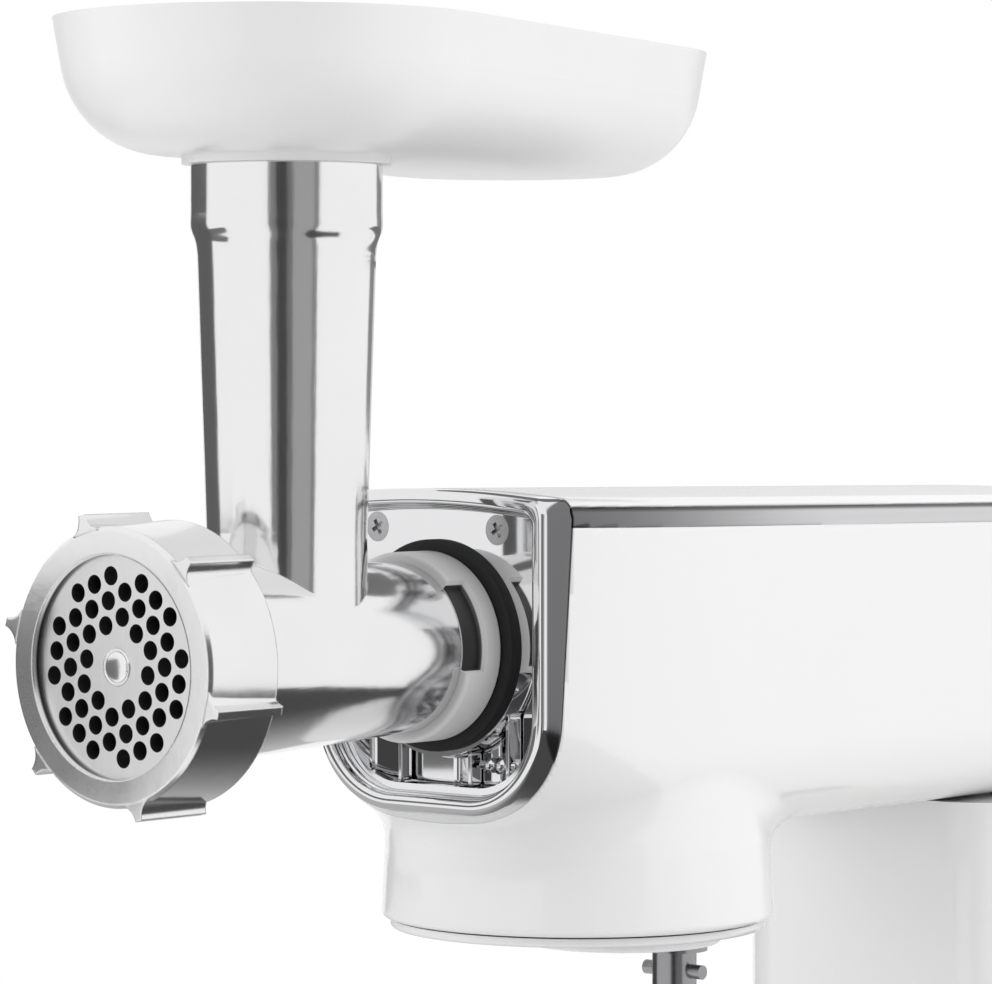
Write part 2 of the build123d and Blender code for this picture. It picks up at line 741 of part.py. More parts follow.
# Head shell: lower housing with the round planetary skirt, hinge bosses and screw bosses
skirt_z = axis_height - skirt_drop
skirt_wall = 3.0
skirt_bore = skirt_radius - skirt_wall
skirt_top_radius = skirt_radius - skirt_draft
planet_hole = 14.0
slot_half_width = 25.0
slot_front = 17.0
slot_back = 0.88 * head_round
slot_top = 0.5 * head_round
boss_inner = 25.5
lever_y = planet_y + 141.0
lever_arm = 21.0
lever_z = hinge_z - lever_arm
lever_shaft = 4.0
with BuildPart() as head_shell:
    add(head_form.part)
    with BuildSketch(Plane.YZ):
        with BuildLine():
            Polyline(
                (planet_y, skirt_z),
                (planet_y + skirt_radius - 1.5, skirt_z),
                (planet_y + skirt_radius, skirt_z + 2.0),
                (planet_y + skirt_top_radius, head_floor_z - 3.0),
                (planet_y + head_half_width - 1.0, head_floor_z + head_corner),
                (planet_y, head_floor_z + head_corner),
                close=True,
            )
        make_face()
    revolve(axis=planet_axis)
    with BuildSketch(Plane.XY.offset(skirt_z)):
        with Locations((0, planet_y)):
            Circle(skirt_bore)
    extrude(amount=skirt_drop - head_under, mode=Mode.SUBTRACT)
    add(head_hollow.part, mode=Mode.SUBTRACT)
    with BuildSketch(facing(floor_y + dish_back)):
        add(dish_outline)
    extrude(amount=dish_back + bezel_depth_top, mode=Mode.SUBTRACT)
    with BuildSketch(Plane.XY.offset(head_floor_z - 1.0)):
        with Locations((0, planet_y)):
            Circle(planet_hole)
    extrude(amount=2 * head_wall, mode=Mode.SUBTRACT)
    with BuildSketch(Plane.YZ.offset(boss_inner)):
        with Locations((hinge_y, hinge_z)):
            Circle(hinge_boss_radius)
    extrude(amount=head_half_width - 4.0 - boss_inner)
    with BuildSketch(Plane.YZ.offset(-boss_inner)):
        with Locations((hinge_y, hinge_z)):
            Circle(hinge_boss_radius)
    extrude(amount=-(head_half_width - 4.0 - boss_inner))
    with BuildSketch(Plane.YZ):
        with Locations((hinge_y, hinge_z)):
            Circle(hinge_pin_radius + running)
    extrude(amount=head_half_width - 5.0, both=True, mode=Mode.SUBTRACT)
    with BuildSketch(Plane.XY.offset(head_floor_z - 1.0)):
        with Locations((0, hinge_y - slot_front)):
            Rectangle(2 * slot_half_width, slot_front + slot_back, align=(Align.CENTER, Align.MIN))
    extrude(amount=slot_top, mode=Mode.SUBTRACT)
    with BuildSketch(Plane.YZ.offset(-head_half_width - 2.0)):
        with Locations((lever_y, lever_z)):
            Circle(lever_shaft + running)
    extrude(amount=head_wall + 6.0, mode=Mode.SUBTRACT)
    split(bisect_by=nose_plane, keep=Keep.TOP)
    split(bisect_by=trim_plane, keep=Keep.BOTTOM)
head_shell.part.label = "head_shell"
export_step(head_shell.part, "parts/head_shell.step")

# Gear outlines: straight flanks at the pressure angle, thinned for backlash
def gear_points(module, teeth, addendum, dedendum, thin, turn):
    """Corner points of a spur gear whose first tooth points along turn, in degrees."""
    pitch_radius = module * teeth / 2
    tip_radius = pitch_radius + addendum
    root_radius = pitch_radius - dedendum
    half_tooth = pi * module / 4 - thin
    tip_half = (half_tooth - addendum * tan(pressure_turn)) / tip_radius
    root_half = (half_tooth + dedendum * tan(pressure_turn)) / root_radius
    points = []
    for tooth in range(teeth):
        middle = radians(turn) + 2 * pi * tooth / teeth
        for radius, side in ((root_radius, -root_half), (tip_radius, -tip_half),
                             (tip_radius, tip_half), (root_radius, root_half)):
            points.append((radius * cos(middle + side), radius * sin(middle + side)))
    return points


def spur_gear(plane, width, teeth, bore, turn):
    """Spur gear of the train, extruded from its plane."""
    with BuildPart() as gear:
        with BuildSketch(plane):
            outline = gear_points(spur_module, teeth, 0.8 * spur_module, 1.1 * spur_module, tooth_thin, turn)
            Polygon(*outline, align=None)
            Circle(bore, mode=Mode.SUBTRACT)
        extrude(amount=width)
    return gear.part


lay_distance = spur_module * (motor_teeth + lay_gear_teeth) / 2
lay_x, lay_drop = polar(lay_distance, lay_turn)
lay_z = axis_height + lay_drop
lay_radius = 4.0
frame_y = planet_y + 30.0
frame_thick = 8.0
stage_gap = 4.0
main_y = frame_y + frame_thick + stage_gap
first_y = main_y + gear_width + stage_gap
bracket_y = first_y + gear_width + stage_gap
bracket_thick = 4.0

main_gear = spur_gear(facing(main_y + gear_width), gear_width, main_teeth, shaft_radius + slip, lay_turn)
main_gear.label = "main_gear"
export_step(main_gear, "parts/main_gear.step")

lay_pinion = spur_gear(
    facing(main_y + gear_width, lay_x, lay_z), gear_width, lay_pinion_teeth, lay_radius + slip,
    lay_turn + 180 + 180 / lay_pinion_teeth,
)
lay_pinion.label = "lay_pinion"
export_step(lay_pinion, "parts/lay_pinion.step")

lay_gear = spur_gear(
    facing(first_y + gear_width, lay_x, lay_z), gear_width, lay_gear_teeth, lay_radius + slip,
    lay_turn + 180 + 180 / lay_gear_teeth,
)
lay_gear.label = "lay_gear"
export_step(lay_gear, "parts/lay_gear.step")

motor_pinion = spur_gear(facing(first_y + gear_width), gear_width, motor_teeth, 3.0 + slip, lay_turn)
motor_pinion.label = "motor_pinion"
export_step(motor_pinion, "parts/motor_pinion.step")

# Lay shaft between the gear frame and the motor bracket
with BuildPart() as lay_shaft:
    with BuildSketch(facing(bracket_y + bracket_thick, lay_x, lay_z)):
        Circle(lay_radius)
    extrude(amount=bracket_y + bracket_thick - frame_y)
lay_shaft.part.label = "lay_shaft"
export_step(lay_shaft.part, "parts/lay_shaft.step")

# Front drive shaft: hexagon socket in the hub, then the journal of the bevel pinion and main gear
socket_back_y = hex_end_y + 3.0
shaft_end_y = main_y + gear_width + 1.0
with BuildPart() as drive_shaft:
    with BuildSketch(facing(socket_back_y)):
        Circle(socket_radius)
        RegularPolygon(drive_hex / 2 + hex_play, 6, major_radius=False, mode=Mode.SUBTRACT)
    extrude(amount=socket_back_y - socket_y)
    with BuildSketch(facing(socket_back_y + 2.0)):
        Circle(socket_radius)
    extrude(amount=2.0)
    with BuildSketch(facing(shaft_end_y)):
        Circle(shaft_radius)
    extrude(amount=shaft_end_y - socket_back_y - 1.0)
drive_shaft.part.label = "drive_shaft"
export_step(drive_shaft.part, "parts/drive_shaft.step")

# Plain bearings of the drive shaft
with BuildPart() as hub_bearing:
    with BuildSketch(facing(bearing_y + bearing_length)):
        Circle(bearing_radius)
        Circle(socket_radius + running, mode=Mode.SUBTRACT)
    extrude(amount=bearing_length)
hub_bearing.part.label = "hub_bearing"
export_step(hub_bearing.part, "parts/hub_bearing.step")

rear_bearing_radius = 9.0
with BuildPart() as rear_bearing:
    with BuildSketch(facing(frame_y + frame_thick)):
        Circle(rear_bearing_radius)
        Circle(shaft_radius + running, mode=Mode.SUBTRACT)
    extrude(amount=frame_thick)
rear_bearing.part.label = "rear_bearing"
export_step(rear_bearing.part, "parts/rear_bearing.step")

# Bevel pair: the apex is where the drive shaft crosses the planetary axis
crown_half = atan2(crown_teeth, bevel_pinion_teeth)
bevel_outer = crown_radius / sin(crown_half)
bevel_inner = crown_inner / sin(crown_half)
bevel_module = 2 * crown_radius / crown_teeth
bevel_add = 0.75 * bevel_module
bevel_ded = 1.05 * bevel_module
bevel_half_tooth = pi * bevel_module / 4 - 1.2 * tooth_thin
apex = Vector(0, planet_y, axis_height)
generatrix = Vector(0, sin(crown_half), -cos(crown_half))


def bevel_tooth(outward):
    """One tooth along the common generatrix; outward is +1 on the pinion, -1 on the crown."""
    with BuildPart() as tooth:
        for reach in (bevel_inner, bevel_outer):
            share = reach / bevel_outer
            tip = share * bevel_add
            root = share * (bevel_ded + 0.3)
            tip_half = share * bevel_half_tooth - tip * tan(pressure_turn)
            root_half = share * bevel_half_tooth + root * tan(pressure_turn)
            with BuildSketch(Plane(origin=apex + generatrix * reach, x_dir=(1, 0, 0), z_dir=generatrix)):
                Polygon((-root_half, -root * outward), (root_half, -root * outward),
                        (tip_half, tip * outward), (-tip_half, tip * outward), align=None)
        loft()
    return tooth.part


crown_tooth = bevel_tooth(-1)
pinion_tooth = bevel_tooth(1)
planet_shaft_radius = 6.0
crown_hub_radius = 11.0
crown_hub_drop = 24.0
crown_root_outer = (
    crown_radius - bevel_ded * cos(crown_half),
    -bevel_outer * cos(crown_half) - bevel_ded * sin(crown_half),
)
crown_share = bevel_inner / bevel_outer
with BuildPart() as crown_gear:
    with BuildSketch(Plane.YZ):
        with Locations((planet_y, axis_height)):
            Polygon(
                (planet_shaft_radius + slip, crown_share * crown_root_outer[1]),
                (crown_share * crown_root_outer[0], crown_share * crown_root_outer[1]),
                crown_root_outer,
                (crown_root_outer[0], crown_root_outer[1] - 4.0),
                (crown_hub_radius, crown_root_outer[1] - 4.0),
                (crown_hub_radius, -crown_hub_drop),
                (planet_shaft_radius + slip, -crown_hub_drop),
                align=None,
            )
    revolve(axis=planet_axis)
    for tooth in range(crown_teeth):
        add(crown_tooth.rotate(planet_axis, 360 * tooth / crown_teeth))
crown_gear.part.label = "crown_gear"
export_step(crown_gear.part, "parts/crown_gear.step")

pinion_root = (
    crown_radius + bevel_ded * cos(crown_half),
    bevel_outer * cos(crown_half) - bevel_ded * sin(crown_half),
)
with BuildPart() as bevel_pinion:
    with BuildSketch(Plane.YZ):
        with Locations((planet_y, axis_height)):
            Polygon(
                (crown_share * pinion_root[0], shaft_radius + slip),
                (crown_share * pinion_root[0], crown_share * pinion_root[1]),
                pinion_root,
                (pinion_root[0] + 4.0, pinion_root[1]),
                (pinion_root[0] + 4.0, shaft_radius + slip),
                align=None,
            )
    revolve(axis=grinder_axis)
    for tooth in range(bevel_pinion_teeth):
        add(pinion_tooth.rotate(grinder_axis, 360 * (tooth + 0.5) / bevel_pinion_teeth))
bevel_pinion.part.label = "bevel_pinion"
export_step(bevel_pinion.part, "parts/bevel_pinion.step")

# Gear frame: floor plate and upright that carry the bearings and the lay shaft
frame_half_width = 44.0
frame_floor_thick = 8.0
frame_rise = 26.0
frame_foot_width = 50.0
frame_foot_length = 56.0
planet_bearing_radius = 11.0
with BuildPart() as gear_frame:
    with BuildSketch(Plane.XY.offset(frame_floor_z)):
        with Locations((0, frame_y + frame_thick)):
            Rectangle(frame_foot_width, frame_foot_length, align=(Align.CENTER, Align.MAX))
        with Locations((0, planet_y)):
            Circle(planet_bearing_radius + slip, mode=Mode.SUBTRACT)
    extrude(amount=frame_floor_thick)
    with BuildSketch(facing(frame_y + frame_thick)):
        with BuildLine():
            Polyline((-24, frame_floor_z - axis_height), (24, frame_floor_z - axis_height),
                     (frame_half_width, -14), (frame_half_width, frame_rise),
                     (-frame_half_width, frame_rise),
                     (-frame_half_width, -14), close=True)
        make_face()
        Circle(rear_bearing_radius + slip, mode=Mode.SUBTRACT)
        with Locations((lay_x, lay_drop)):
            Circle(lay_radius + running, mode=Mode.SUBTRACT)
    extrude(amount=frame_thick)
gear_frame.part.label = "gear_frame"
export_step(gear_frame.part, "parts/gear_frame.step")

# Motor: laminated stator on feet, wound rotor, fan, brushes and two bearing brackets
motor_shaft_radius = 3.0
stator_y = bracket_y + 16.0
stator_length = 34.0
stator_radius = 31.0
stator_bore = 19.5
rotor_gap = 0.6
motor_end_y = stator_y + stator_length + 19.0
bracket_half_width = 34.0
bracket_rise = 22.0
with BuildPart() as motor_stator:
    with BuildSketch(facing(stator_y + stator_length)):
        Circle(stator_radius)
        with Locations((0, frame_floor_z - axis_height)):
            Rectangle(36.0, axis_height - frame_floor_z, align=(Align.CENTER, Align.MIN))
        Circle(stator_bore, mode=Mode.SUBTRACT)
    extrude(amount=stator_length)
motor_stator.part.label = "motor_stator"
export_step(motor_stator.part, "parts/motor_stator.step")

rotor_slots = 12
with BuildPart() as motor_rotor:
    with BuildSketch(facing(stator_y + stator_length)):
        Circle(stator_bore - rotor_gap)
        with PolarLocations(stator_bore - rotor_gap, rotor_slots):
            Rectangle(8.0, 2.4, mode=Mode.SUBTRACT)
    extrude(amount=stator_length)
    with BuildSketch(facing(motor_end_y)):
        Circle(motor_shaft_radius)
    extrude(amount=motor_end_y - first_y + 1.0)
    with BuildSketch(facing(stator_y + stator_length + 12.0)):
        Circle(11.0)
    extrude(amount=10.0)
motor_rotor.part.label = "motor_rotor"
export_step(motor_rotor.part, "parts/motor_rotor.step")

fan_blades = 9
with BuildPart() as motor_fan:
    with BuildSketch(facing(stator_y - 2.0)):
        Circle(27.0)
        Circle(motor_shaft_radius + slip, mode=Mode.SUBTRACT)
    extrude(amount=2.0)
    with BuildSketch(facing(stator_y - 4.0)):
        with PolarLocations(16.5, fan_blades):
            Rectangle(20.0, 2.0, rotation=25)
    extrude(amount=6.0)
motor_fan.part.label = "motor_fan"
export_step(motor_fan.part, "parts/motor_fan.step")

brush_y = stator_y + stator_length + 10.0
with BuildPart() as motor_brushes:
    with BuildSketch(facing(brush_y)):
        with Locations((-18.0, 0), (18.0, 0)):
            Rectangle(13.0, 6.0)
    extrude(amount=6.0)
    with BuildSketch(facing(motor_end_y - bracket_thick)):
        with Locations((-20.0, 0), (20.0, 0)):
            Rectangle(8.0, 10.0)
    extrude(amount=motor_end_y - bracket_thick - brush_y)
motor_brushes.part.label = "motor_brushes"
export_step(motor_brushes.part, "parts/motor_brushes.step")


def motor_bracket(station, shaft_hole, lay_hole):
    """Upright plate across the head's floor with a bearing hole for the motor shaft."""
    with BuildPart() as bracket:
        with BuildSketch(facing(station)):
            with Locations((0, frame_floor_z - axis_height)):
                Rectangle(frame_foot_width, axis_height - frame_floor_z, align=(Align.CENTER, Align.MIN))
            Rectangle(2 * bracket_half_width, 2 * bracket_rise)
            Circle(shaft_hole, mode=Mode.SUBTRACT)
            with Locations((lay_x, lay_drop)):
                Circle(lay_hole, mode=Mode.SUBTRACT)
        extrude(amount=bracket_thick)
    return bracket.part


motor_hole = motor_shaft_radius + running
motor_front_bracket = motor_bracket(bracket_y + bracket_thick, motor_hole, lay_radius + running)
motor_front_bracket.label = "motor_front_bracket"
export_step(motor_front_bracket, "parts/motor_front_bracket.step")
motor_rear_bracket = motor_bracket(motor_end_y, motor_shaft_radius + running, lay_radius + running)
motor_rear_bracket.label = "motor_rear_bracket"
export_step(motor_rear_bracket, "parts/motor_rear_bracket.step")

# Planetary drive: fixed ring gear, planet shaft, carrier with its eccentric boss, tool shaft
planet_offset = ring_module * (ring_teeth - planet_teeth) / 2
tool_x, tool_shift = polar(planet_offset, planet_turn)
tool_y = planet_y + tool_shift
planet_top_z = skirt_z + 15.0
carrier_gap = 0.5
carrier_thick = 2.5
carrier_boss_radius = 28.0
carrier_boss_offset = 12.0
carrier_boss_drop = 85.0
boss_x, boss_shift = polar(carrier_boss_offset, planet_turn)
carrier_top_z = skirt_z - carrier_gap

with BuildPart() as ring_gear:
    with BuildSketch(Plane.XY.offset(planet_top_z)):
        with Locations((0, planet_y)):
            Circle(skirt_bore - slip)
            Polygon(
                *gear_points(
                    ring_module, ring_teeth, 1.1 * ring_module, 0.8 * ring_module, -tooth_thin, planet_turn
                ),
                align=None, mode=Mode.SUBTRACT,
            )
    extrude(amount=-planet_width)
ring_gear.part.label = "ring_gear"
export_step(ring_gear.part, "parts/ring_gear.step")

with BuildPart() as planet_pinion:
    with BuildSketch(Plane.XY.offset(planet_top_z)):
        with Locations((tool_x, tool_y)):
            Polygon(
                *gear_points(
                    ring_module, planet_teeth, 0.8 * ring_module, 1.1 * ring_module, tooth_thin, planet_turn
                ),
                align=None,
            )
            Circle(tool_radius + slip, mode=Mode.SUBTRACT)
    extrude(amount=-planet_width)
planet_pinion.part.label = "planet_pinion"
export_step(planet_pinion.part, "parts/planet_pinion.step")

planet_shaft_top = 10.0
with BuildPart() as planet_shaft:
    with BuildSketch(Plane.XY.offset(carrier_top_z)):
        with Locations((0, planet_y)):
            Circle(planet_shaft_radius)
    extrude(amount=axis_height - planet_shaft_top - carrier_top_z)
planet_shaft.part.label = "planet_shaft"
export_step(planet_shaft.part, "parts/planet_shaft.step")

with BuildPart() as planet_bearing:
    with BuildSketch(Plane.XY.offset(frame_floor_z)):
        with Locations((0, planet_y)):
            Circle(planet_bearing_radius)
            Circle(planet_shaft_radius + running, mode=Mode.SUBTRACT)
    extrude(amount=frame_floor_thick)
planet_bearing.part.label = "planet_bearing"
export_step(planet_bearing.part, "parts/planet_bearing.step")

carrier_hub_radius = 11.0
carrier_hub_rise = 17.0
with BuildPart() as planet_carrier:
    with BuildSketch(Plane.XY.offset(carrier_top_z)):
        with Locations((0, planet_y)):
            Circle(skirt_radius - 2.5)
    extrude(amount=-carrier_thick)
    fillet(planet_carrier.faces().sort_by(Axis.Z)[0].edges(), radius=1.2)
    with BuildSketch(Plane.XY.offset(axis_height - carrier_boss_drop)):
        with Locations((boss_x, planet_y + boss_shift)):
            Circle(carrier_boss_radius)
    extrude(amount=carrier_top_z - carrier_thick / 2 - axis_height + carrier_boss_drop)
    fillet(planet_carrier.faces().sort_by(Axis.Z)[0].edges(), radius=1.2)
    with BuildSketch(Plane.XY.offset(carrier_top_z - carrier_thick / 2)):
        with Locations((0, planet_y)):
            Circle(carrier_hub_radius)
    extrude(amount=carrier_hub_rise)
    with BuildSketch(Plane.XY.offset(carrier_top_z)):
        with Locations((0, planet_y)):
            Circle(planet_shaft_radius + slip)
    extrude(amount=carrier_hub_rise, mode=Mode.SUBTRACT)
    with BuildSketch(Plane.XY.offset(carrier_top_z - carrier_thick / 2)):
        with Locations((tool_x, tool_y)):
            Circle(tool_radius + 3.0)
    extrude(amount=planet_top_z - planet_width - carrier_top_z + carrier_thick / 2 - clearance)
    with BuildSketch(Plane.XY.offset(planet_top_z)):
        with Locations((tool_x, tool_y)):
            Circle(tool_radius + running)
    extrude(amount=-2 * carrier_boss_drop, mode=Mode.SUBTRACT)
planet_carrier.part.label = "planet_carrier"
export_step(planet_carrier.part, "parts/planet_carrier.step")

tool_flange_radius = 9.2
tool_flange_thick = 2.2
tool_tip_radius = 1.5
with BuildPart() as tool_shaft:
    with BuildSketch(Plane.XY.offset(axis_height - tool_drop)):
        with Locations((tool_x, tool_y)):
            Circle(tool_radius)
    extrude(amount=planet_top_z - axis_height + tool_drop)
    chamfer(tool_shaft.faces().sort_by(Axis.Z)[0].edges(), length=tool_tip_radius)
    with BuildSketch(Plane.XY.offset(axis_height - carrier_boss_drop - clearance)):
        with Locations((tool_x, tool_y)):
            Circle(tool_flange_radius)
    extrude(amount=-tool_flange_thick)
    with BuildSketch(Plane.YZ.offset(tool_x)):
        with Locations((tool_y, axis_height - tool_pin_drop)):
            Circle(tool_pin_radius + slip)
    extrude(amount=2 * tool_radius, both=True, mode=Mode.SUBTRACT)
tool_shaft.part.label = "tool_shaft"
export_step(tool_shaft.part, "parts/tool_shaft.step")

with BuildPart() as tool_pin:
    with BuildSketch(Plane.YZ.offset(tool_x)):
        with Locations((tool_y, axis_height - tool_pin_drop)):
            Circle(tool_pin_radius)
    extrude(amount=tool_pin_length / 2, both=True)
tool_pin.part.label = "tool_pin"
export_step(tool_pin.part, "parts/tool_pin.step")

# Hinge: steel bracket from the column, pin through the head's bosses
column_inner = column_half_width - base_wall
with BuildPart() as hinge_bracket:
    for side in (-1, 1):
        with BuildSketch(Plane.YZ.offset(side * plate_x - hinge_plate / 2)):
            with Locations((hinge_y, hinge_z)):
                Circle(hinge_disc)
                Rectangle(2 * stem_half, bracket_drop, align=(Align.CENTER, Align.MAX))
                Circle(hinge_pin_radius + slip, mode=Mode.SUBTRACT)
                with PolarLocations(
                    hinge_disc, 2, start_angle=180 - tilt_limit, angular_range=tilt_limit, endpoint=True
                ):
                    Rectangle(2 * lock_notch_depth, 2 * lock_notch_half, mode=Mode.SUBTRACT)
        extrude(amount=hinge_plate)
    with BuildSketch(Plane.XY.offset(hinge_z - bracket_drop)):
        with Locations((0, hinge_y)):
            Rectangle(2 * (column_inner - running), 2 * stem_half)
    extrude(amount=hinge_plate)
hinge_bracket.part.label = "hinge_bracket"
export_step(hinge_bracket.part, "parts/hinge_bracket.step")

with BuildPart() as hinge_pin:
    with BuildSketch(Plane.YZ):
        with Locations((hinge_y, hinge_z)):
            Circle(hinge_pin_radius)
    extrude(amount=head_half_width - 2 * head_wall, both=True)
hinge_pin.part.label = "hinge_pin"
export_step(hinge_pin.part, "parts/hinge_pin.step")

# Tilt lock: bolt in a guide, pushed into the bracket's notch by the lever's finger
bolt_end_y = hinge_y - hinge_disc - 1.0
with BuildPart() as lock_bolt:
    with BuildSketch(facing(bolt_end_y, -plate_x, hinge_z)):
        Circle(bolt_radius)
    extrude(amount=bolt_length)
lock_bolt.part.label = "lock_bolt"
export_step(lock_bolt.part, "parts/lock_bolt.step")

with BuildPart() as latch_guide:
    with BuildSketch(facing(bolt_end_y - 1.0, -plate_x, hinge_z)):
        with Locations((0, frame_floor_z - hinge_z)):
            guide_rise = hinge_z - frame_floor_z + 2 * bolt_radius
            Rectangle(guide_width, guide_rise, align=(Align.CENTER, Align.MIN))
        Circle(bolt_radius + running, mode=Mode.SUBTRACT)
    extrude(amount=guide_length)
latch_guide.part.label = "latch_guide"
export_step(latch_guide.part, "parts/latch_guide.step")

lever_face_x = head_half_width + 4 * clearance
with BuildPart() as tilt_lever:
    with BuildSketch(Plane.YZ.offset(-lever_face_x)):
        with Locations((lever_y, lever_z)):
            Circle(lever_shaft)
    extrude(amount=lever_face_x - plate_x + finger_width / 2)
    with BuildSketch(Plane.YZ.offset(-plate_x - finger_width / 2)):
        with Locations((lever_y, lever_z)):
            Rectangle(finger_thick, lever_arm, align=(Align.CENTER, Align.MIN))
    extrude(amount=finger_width)
    with BuildSketch(Plane.YZ.offset(-lever_face_x)):
        with Locations((lever_y, lever_z)):
            Circle(grip_radius)
    extrude(amount=-grip_plate)
    with BuildSketch(Plane.YZ.offset(-lever_face_x)):
        with Locations((lever_y, lever_z)):
            SlotOverall(2 * grip_radius - 1.0, grip_bar, rotation=90)
    extrude(amount=-grip_length)
    fillet(tilt_lever.faces().sort_by(Axis.X)[0].edges(), radius=grip_edge)
tilt_lever.part.label = "tilt_lever"
export_step(tilt_lever.part, "parts/tilt_lever.step")

# Stand: base shell and column, closed below by the base plate
base_bottom_z = foot_height
plate_top_z = base_bottom_z + base_plate_thick
column_top_z = head_floor_z - column_gap
column_middle_y = column_y + column_length / 2
screw_spots = [(-85.0, 0.0), (85.0, 0.0), (-85.0, 150.0), (85.0, 150.0)]
foot_spots = [(-66.0, -82.0), (66.0, -82.0), (-86.0, 60.0), (86.0, 60.0), (-74.0, 178.0), (74.0, 178.0)]


def base_outline(inset):
    """Plan of the base: round at the front, rounded corners at the back."""
    with BuildSketch() as outline:
        with Locations((0, planet_y)):
            Circle(base_radius - inset)
            tail_length = base_back_y - inset - planet_y
            Rectangle(2 * (base_radius - inset), tail_length, align=(Align.CENTER, Align.MIN))
        fillet(outline.vertices().group_by(Axis.Y)[-1], radius=base_rear_corner - inset)
    return outline.sketch


def column_section(height, spread, inset):
    """Plan of the column at a height, spread from its upright size and inset by a wall."""
    grow = spread - inset
    reach = min(grow, column_rear_spread - inset)
    with BuildSketch(Plane.XY.offset(height)) as outline:
        with Locations((0, column_middle_y)):
            RectangleRounded(2 * (column_half_width + grow), column_length + 2 * reach, column_corner + grow)
    return outline.sketch


column_spreads = [18.0, 6.5, 1.8, 0.3, 0.0, 0.0, 0.0, 0.0, 0.0]
column_start_z = base_height - 2 * base_wall
column_step = (column_top_z + column_lip - column_start_z) / (len(column_spreads) - 1)
column_levels = [(column_start_z + step * column_step, spread) for step, spread in enumerate(column_spreads)]

with BuildPart() as column_form:
    for height, spread in column_levels:
        add(column_section(height, spread, 0.0))
    loft()

with BuildPart() as column_hollow:
    for height, spread in column_levels:
        add(column_section(height, spread, base_wall))
    loft(ruled=True)
    with BuildSketch(Plane.XY.offset(column_top_z - base_wall)):
        with Locations((0, column_y)):
            Rectangle(4 * base_radius, 4 * base_radius)
    extrude(amount=2 * column_lip, mode=Mode.SUBTRACT)

with BuildPart() as stand_form:
    with BuildSketch(Plane.XY.offset(base_bottom_z)):
        add(base_outline(0.0))
    extrude(amount=base_height - base_bottom_z)
    fillet(stand_form.faces().sort_by(Axis.Z)[-1].edges(), radius=base_edge)
    add(column_form.part)
    with BuildSketch(Plane.XY.offset(base_bottom_z)):
        add(base_outline(base_wall))
    extrude(amount=base_height - base_bottom_z - base_wall, taper=base_draft, mode=Mode.SUBTRACT)
    add(column_hollow.part, mode=Mode.SUBTRACT)
    with BuildSketch(Plane.XY.offset(column_top_z)):
        with Locations((0, hinge_y)):
            Rectangle(4 * base_radius, 2 * base_radius, align=(Align.CENTER, Align.MAX))
    extrude(amount=2 * column_lip, mode=Mode.SUBTRACT)
    with BuildSketch(Plane.YZ):
        with Locations((hinge_y, hinge_z)):
            Circle(head_round + column_gap)
    extrude(amount=2 * base_radius, both=True, mode=Mode.SUBTRACT)
    with BuildSketch(Plane.XY.offset(column_top_z + column_lip)):
        with Locations((0, hinge_y)):
            Rectangle(2 * plate_x + hinge_plate + 2.0, 2 * stem_half + 2.0)
    extrude(amount=-2 * column_lip - base_wall, mode=Mode.SUBTRACT)
    with BuildSketch(Plane.XY.offset(base_height)):
        with Locations((0, planet_y)):
            Circle(seat_radius + running)
    extrude(amount=-seat_thick, mode=Mode.SUBTRACT)
    with BuildSketch(Plane.XY.offset(base_height - seat_thick)):
        with Locations((0, planet_y)):
            Circle(seat_radius + 4.0)
    extrude(amount=-base_wall)
    with BuildSketch(Plane.XY.offset(plate_top_z)):
        with Locations(*screw_spots):
            Circle(boss_radius)
    extrude(amount=base_height - base_wall - plate_top_z + 1.0)
    with BuildSketch(Plane.XY.offset(plate_top_z)):
        with Locations(*screw_spots):
            Circle(base_screw_radius + slip)
    extrude(amount=base_screw_length, mode=Mode.SUBTRACT)
    with BuildSketch(facing(base_back_y, 0, gland_height)):
        Circle(gland_radius + running)
    extrude(amount=gland_length, mode=Mode.SUBTRACT)
    with BuildSketch(Plane.YZ.offset(column_inner)):
        with Locations((column_middle_y, knob_height)):
            Circle(spindle_radius + running)
    extrude(amount=base_wall, both=True, mode=Mode.SUBTRACT)

column_foot = Plane.XY.offset(base_height + clearance)
with BuildPart() as base_shell:
    add(stand_form.part)
    split(bisect_by=column_foot, keep=Keep.BOTTOM)
base_shell.part.label = "base_shell"
export_step(base_shell.part, "parts/base_shell.step")

with BuildPart() as column_shell:
    add(stand_form.part)
    split(bisect_by=column_foot, keep=Keep.TOP)
column_shell.part.label = "column_shell"
export_step(column_shell.part, "parts/column_shell.step")

board_y = base_back_y - gland_length - board_gap - board_length / 2
board_spots = [
    (-board_stand_x, board_y - board_stand_y),
    (board_stand_x, board_y - board_stand_y),
    (-board_stand_x, board_y + board_stand_y),
    (board_stand_x, board_y + board_stand_y),
]
with BuildPart() as base_plate:
    with BuildSketch(Plane.XY.offset(base_bottom_z)):
        add(base_outline(base_wall + 2 * clearance))
    extrude(amount=base_plate_thick)
    with BuildSketch(Plane.XY.offset(plate_top_z)):
        with Locations(*board_spots):
            Circle(foot_stud)
    extrude(amount=board_rise)
    with BuildSketch(Plane.XY.offset(base_bottom_z)):
        with Locations(*screw_spots):
            Circle(base_screw_radius + slip)
        with Locations(*foot_spots):
            Circle(foot_stud + slip)
    extrude(amount=base_plate_thick, mode=Mode.SUBTRACT)
    with BuildSketch(Plane.XY.offset(base_bottom_z)):
        with Locations(*screw_spots):
            Circle(base_screw_head + clearance)
    extrude(amount=base_plate_thick / 2, mode=Mode.SUBTRACT)
base_plate.part.label = "base_plate"
export_step(base_plate.part, "parts/base_plate.step")

